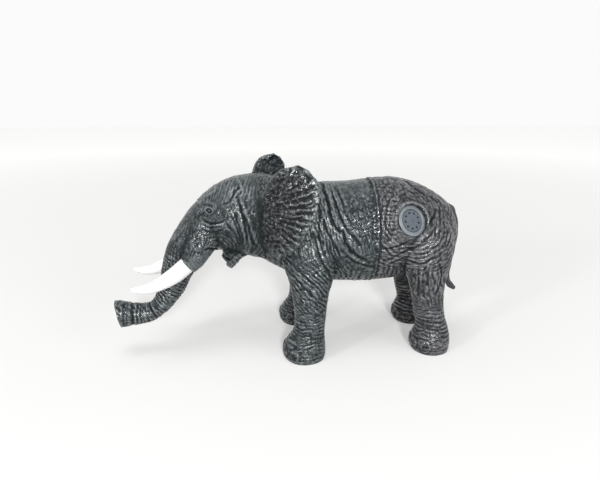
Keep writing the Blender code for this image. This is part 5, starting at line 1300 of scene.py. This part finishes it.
def noise(tree, place, scale, detail=3.0, roughness=0.55):
    return add(tree, "TexNoise", {"Vector": place, "Scale": scale, "Detail": detail,
                                  "Roughness": roughness}).outputs["Fac"]


def mix(tree, share, first, second):
    """Two colours, blended by a share."""
    first, second = ((*colour, 1.0) if isinstance(colour, tuple) else colour for colour in (first, second))
    return add(tree, "Mix", {0: share, 6: first, 7: second}, data_type="RGBA").outputs[2]


def shaded(colour, share):
    """A colour made darker, down to a share of its brightness."""
    return tuple(channel * share for channel in colour)


def put(tree, shader, **looks):
    """Link the looks of a material to its shader's inputs."""
    for socket, value in looks.items():
        tree.links.new(value, shader.inputs[socket.replace("_", " ")])


def bump(tree, shader, height, depth):
    made = add(tree, "Bump", {"Height": height, "Distance": depth, "Strength": 1.0})
    put(tree, shader, Normal=made.outputs["Normal"])


# %% [markdown]
# ## Soft vinyl
# The skin is grey vinyl, and the ears are painted dark. Painted shade darkens the folds and the cracks
# between the fine wrinkles, and painted highlights brighten the high places. The mesh carries how hollow
# each corner is, so the painted shade follows the real folds. Pores and creases too small for the mesh
# are bump. The crests are the glossiest places, above all where the casting is lively, and they break
# the light into specks.
# %% Skin materials
BLOTCH_SCALE, GRAIN_SCALE, WANDER_SCALE = 45.0, 480.0, 200.0
RUN_PER_MM, RUN_ALONG, RUN_UP, CELL_EDGE = 0.32, (90.0, 60.0, 22.0), (-22.0, 60.0, 90.0), 0.45
SKIN_BUMP, RIDGE_SHARE = 0.001, 0.44


def skin_vinyl(name, body_colour, fleck_and_highlight_colour, dark_paint_and_shade_colour):
    made, tree, shader, place = blank(name, 0.30)
    hollow_here, ear_here, dark_here, across_here, calm_here = (
        add(tree, "Attribute", attribute_name=what).outputs["Fac"]
        for what in ("hollow", "ear", "dark", "across", "calm"))
    blotch = noise(tree, place, BLOTCH_SCALE, 4.0)
    grain = noise(tree, place, GRAIN_SCALE, 3.0, 0.6)
    wander = stretch(tree, noise(tree, place, WANDER_SCALE, 2.0), 0.2, 0.8, -0.6, 0.6)
    first = maths(tree, "MULTIPLY_ADD", across_here, RUN_PER_MM, wander)
    second, third = (add(tree, "VectorMath", {0: place, 1: way}, operation="DOT_PRODUCT").outputs["Value"]
                     for way in (RUN_ALONG, RUN_UP))
    run = add(tree, "CombineXYZ", {0: first, 1: second, 2: third}).outputs[0]
    cells = add(tree, "TexVoronoi", {"Vector": run, "Scale": 1.0}, feature="DISTANCE_TO_EDGE").outputs["Distance"]
    ridge = add(tree, "MapRange", {"Value": cells, "From Max": CELL_EDGE}, interpolation_type="SMOOTHSTEP")
    ridge = ridge.outputs["Result"]
    wrinkled = stretch(tree, calm_here, 0.0, 1.0, 1.0, 0.0)
    # Painted shade: the grooves between the cells of fine wrinkles are darkened.
    crack_shade = maths(tree, "MULTIPLY", stretch(tree, ridge, 0.0, 0.4, 0.75, 0.0), wrinkled)
    # Painted highlight: the crests of the folds are brightened, less on the ears.
    crest_highlight = maths(tree, "MULTIPLY_ADD", ear_here, -0.55, stretch(tree, hollow_here, -0.05, -0.8), use_clamp=True)
    base = mix(tree, stretch(tree, blotch, 0.35, 0.7), body_colour, shaded(body_colour, 0.78))
    for share, colour in (
        (stretch(tree, ear_here, 0.1, 0.9, 0.0, 0.9), dark_paint_and_shade_colour),
        (crest_highlight, fleck_and_highlight_colour),
        (stretch(tree, grain, 0.5, 0.75, 0.0, 0.30), fleck_and_highlight_colour),
        (crack_shade, dark_paint_and_shade_colour),
        # Painted shade: the skin turns to the dark colour where the mesh is hollow, in the folds.
        (stretch(tree, hollow_here, 0.08, 0.8, 0.0, 0.9), dark_paint_and_shade_colour),
        # Dark marks of the eyes, toenails and trunk tip, with painted shade in the neck's folds.
        (dark_here, dark_paint_and_shade_colour),
    ):
        base = mix(tree, share, base, colour)
    rough = maths(tree, "ADD", stretch(tree, grain, 0.3, 0.7, 0.20, 0.30),
                  stretch(tree, hollow_here, 0.0, 0.5, 0.0, 0.4))
    rough = maths(tree, "MULTIPLY", rough, stretch(tree, calm_here, 0.0, -1.0, 1.0, 0.5))
    matt = maths(tree, "MULTIPLY_ADD", dark_here, 0.5, maths(tree, "MULTIPLY_ADD", crack_shade, 0.45, hollow_here))
    put(tree, shader, Base_Color=base, Roughness=rough,
        Specular_IOR_Level=stretch(tree, matt, -0.35, 0.32, 1.0, 0.05))
    relief = maths(tree, "MULTIPLY_ADD", ridge, RIDGE_SHARE, stretch(tree, grain, 0.2, 0.8, 0.0, 0.30))
    bump(tree, shader, maths(tree, "MULTIPLY", relief, wrinkled), SKIN_BUMP)
    return made


# Light colours: painted highlights on the crests, and the random light flecks of the grain.
FRONT_GREY, FRONT_FLECK_AND_HIGHLIGHT = (0.039, 0.051, 0.054), (0.106, 0.130, 0.134)
REAR_GREY, REAR_FLECK_AND_HIGHLIGHT = (0.061, 0.062, 0.068), (0.153, 0.155, 0.163)
# Dark colour of the painted ears, eyes and toenails, also used for painted shade in folds and cracks.
DARK_PAINT_AND_SHADE = (0.008, 0.009, 0.010)
front_vinyl = skin_vinyl("front vinyl", FRONT_GREY, FRONT_FLECK_AND_HIGHLIGHT, DARK_PAINT_AND_SHADE)
rear_vinyl = skin_vinyl("rear vinyl", REAR_GREY, REAR_FLECK_AND_HIGHLIGHT, DARK_PAINT_AND_SHADE)


def wear(piece, material):
    """Give a piece its only material."""
    piece.data.materials.clear()
    piece.data.materials.append(material)


def dress(piece, material):
    """Give a new piece its material."""
    wear(piece, material)
    return piece


dress(front_skin, front_vinyl)
dress(rear_skin, rear_vinyl)
print("skins dressed:", front_vinyl.name, "and", rear_vinyl.name)

# %% [markdown]
# ## Tusk, tail and unit plastics
# The tusks are white vinyl with a faint cloudy tone. The tail is the rear vinyl in its darkest shade.
# Bezel and button are moulded in two greys with a faint grain.
# %% Small castings
def moulded(name, colour, roughness, grain_scale=900.0, depth=0.00008, shade=0.8):
    """Moulded plastic: cloudy colour, fine grain in the gloss and in the bump."""
    made, tree, shader, place = blank(name, roughness)
    cloudy = stretch(tree, noise(tree, place, 120.0), 0.3, 0.7)
    grain = noise(tree, place, grain_scale, 2.0)
    put(tree, shader, Base_Color=mix(tree, cloudy, colour, shaded(colour, shade)),
        Roughness=stretch(tree, grain, 0.3, 0.7, roughness - 0.06, roughness + 0.10))
    bump(tree, shader, grain, depth)
    return made


ivory = moulded("white tusk vinyl", (0.76, 0.76, 0.745), 0.34, 500.0, 0.00006, 0.95)
for tusk in tusks:
    dress(tusk, ivory)
dress(tail, moulded("dark tail vinyl", (0.030, 0.032, 0.034), 0.42, 700.0, 0.0002))
dress(bezel, moulded("bezel grey", (0.155, 0.177, 0.194), 0.38))
dress(button, moulded("button grey", (0.070, 0.084, 0.103), 0.40))
print("small castings dressed")

# %% [markdown]
# ## Pieces inside
# Nobody sees the fibre, the speaker and the cells until the toy is opened, but each still gets the
# finish of its own stuff: brushed steel, thin brass, a green board with its tracks, loose fibre.
# %% Inner materials
def fibre():
    made, tree, shader, place = blank("white fibre", 0.95, Sheen_Weight=0.3)
    strands = noise(tree, add(tree, "Mapping", {"Vector": place, "Scale": (1.0, 0.25, 0.25)}).outputs[0], 600.0, 5.0)
    put(tree, shader, Base_Color=mix(tree, stretch(tree, strands, 0.3, 0.7), (0.62, 0.62, 0.60), (0.85, 0.85, 0.83)))
    bump(tree, shader, strands, 0.0012)
    return made


def metal(name, colour, roughness, line_scale=1500.0):
    """Metal with fine lines of its rolling or turning."""
    made, tree, shader, place = blank(name, roughness, 1.0)
    lines = noise(tree, add(tree, "Mapping", {"Vector": place, "Scale": (0.05, 1.0, 1.0)}).outputs[0], line_scale)
    put(tree, shader, Base_Color=mix(tree, lines, colour, shaded(colour, 0.8)),
        Roughness=stretch(tree, lines, 0.3, 0.7, roughness - 0.05, roughness + 0.12))
    bump(tree, shader, lines, 0.00002)
    return made


def board():
    """Solder resist over copper tracks: straight tracks show as lighter green lines."""
    made, tree, shader, place = blank("board green", 0.30)
    tracks = add(tree, "TexBrick", {"Vector": place, "Scale": 260.0, "Mortar Size": 0.035}).outputs["Fac"]
    put(tree, shader, Base_Color=mix(tree, tracks, (0.020, 0.150, 0.060), (0.060, 0.300, 0.130)))
    bump(tree, shader, tracks, 0.00003)
    return made


black = moulded("black plastic", (0.028, 0.028, 0.030), 0.42)
steel = metal("steel", (0.60, 0.60, 0.62), 0.28)
looks = {
    "fibre": fibre(), "black_plastic": black, "steel": steel, "board_green": board(),
    "cell_steel": metal("nickel plate", (0.70, 0.70, 0.70), 0.18, 800.0),
    "contact_brass": metal("contact brass", (0.72, 0.55, 0.25), 0.25),
    "cone_paper": moulded("cone film", (0.10, 0.10, 0.10), 0.75, 1500.0, 0.0001),
    "plunger_red": moulded("plunger red", (0.45, 0.05, 0.04), 0.40),
    "lead_red": moulded("red lead", (0.50, 0.03, 0.03), 0.45),
    "lead_black": moulded("black lead", (0.02, 0.02, 0.02), 0.45),
}
dress(spring, steel)
dressed = 0
for part in frame["record"]["subparts"]:
    if part["material_slot"] in looks:
        wear(frame["nodes"][part["node"]], looks[part["material_slot"]])
        dressed += 1
print("inner pieces dressed:", dressed)

# %% [markdown]
# ## Floor and light
# The toy stands on white paper. A small bright lamp beside the camera, like a window, and a weaker one
# at the front left put the sparks on the crests of the folds, and two broad ones, overhead and at the
# side, fill the shade. The paper adds a little light of its own to what the camera sees, so that it
# stays white while it keeps the animal's shadow.
# %% Stage
FLOOR_SIZE = 8.0
GLOW_REACH, GLOW = (0.25, 2.0), (0.295, 0.64)
PAPER, GLOW_COLOUR, SKY, SKY_LIGHT = (0.56, 0.56, 0.555, 1.0), (1.0, 1.0, 0.99, 1.0), (0.965, 0.965, 0.965, 1.0), 0.42
# Lamps: name, place, aim, width, height, power
LAMPS = (
    ("overhead", (-0.3, -0.4, 2.0), (0.0, 0.0, 0.08), 0.9, 0.9, 12.0),
    ("window", (0.08, -2.10, 0.85), (0.0, 0.0, 0.11), 0.24, 0.30, 47.0),
    ("front", (-1.70, -1.35, 0.80), (-0.05, 0.0, 0.12), 0.24, 0.30, 14.0),
    ("side", (1.8, -1.6, 1.2), (0.0, 0.0, 0.08), 0.8, 0.8, 6.0),
)
half = FLOOR_SIZE / 2
floor_mesh = bpy.data.meshes.new("floor")
floor_mesh.from_pydata([(-half, -half, 0), (half, -half, 0), (half, half, 0), (-half, half, 0)], [], [(0, 1, 2, 3)])
floor = object_of("floor", floor_mesh)
paper, tree, shader, place = blank("white paper", 0.9, Base_Color=PAPER, Emission_Color=GLOW_COLOUR)


def seen_rays(tree):
    """1 for what the camera sees, also in gloss and through glass, 0 for light that falls on things."""
    rays = add(tree, "LightPath").outputs
    seen = maths(tree, "MAXIMUM", rays["Is Camera Ray"], rays["Is Glossy Ray"])
    return maths(tree, "MAXIMUM", seen, rays["Is Transmission Ray"])


from_toy = add(tree, "VectorMath", {0: place}, operation="LENGTH").outputs["Value"]
glow = stretch(tree, from_toy, *GLOW_REACH, *GLOW)
put(tree, shader, Emission_Strength=maths(tree, "MULTIPLY", seen_rays(tree), glow))
wear(floor, paper)

world = bpy.data.worlds.new("studio")
world.use_nodes = True
bpy.context.scene.world = world
tree = world.node_tree
background = tree.nodes["Background"]
background.inputs["Color"].default_value = SKY
put(tree, background, Strength=stretch(tree, seen_rays(tree), 0.0, 1.0, SKY_LIGHT, 1.0))


def lamp(name, place, aim, width, height, power):
    """An area lamp that looks at a point."""
    light = bpy.data.lights.new(name, "AREA")
    light.shape = "RECTANGLE"
    light.size, light.size_y, light.energy = width, height, power
    made = object_of(name, light)
    made.location = place
    made.rotation_euler = (Vector(aim) - Vector(place)).to_track_quat("-Z", "Y").to_euler()


for settings in LAMPS:
    lamp(*settings)

# %% [markdown]
# ## Last look
# The scene keeps Blender's plain view transform, so that colours come out as they were written.
# %% Finish
bpy.context.scene.view_settings.view_transform = "Standard"
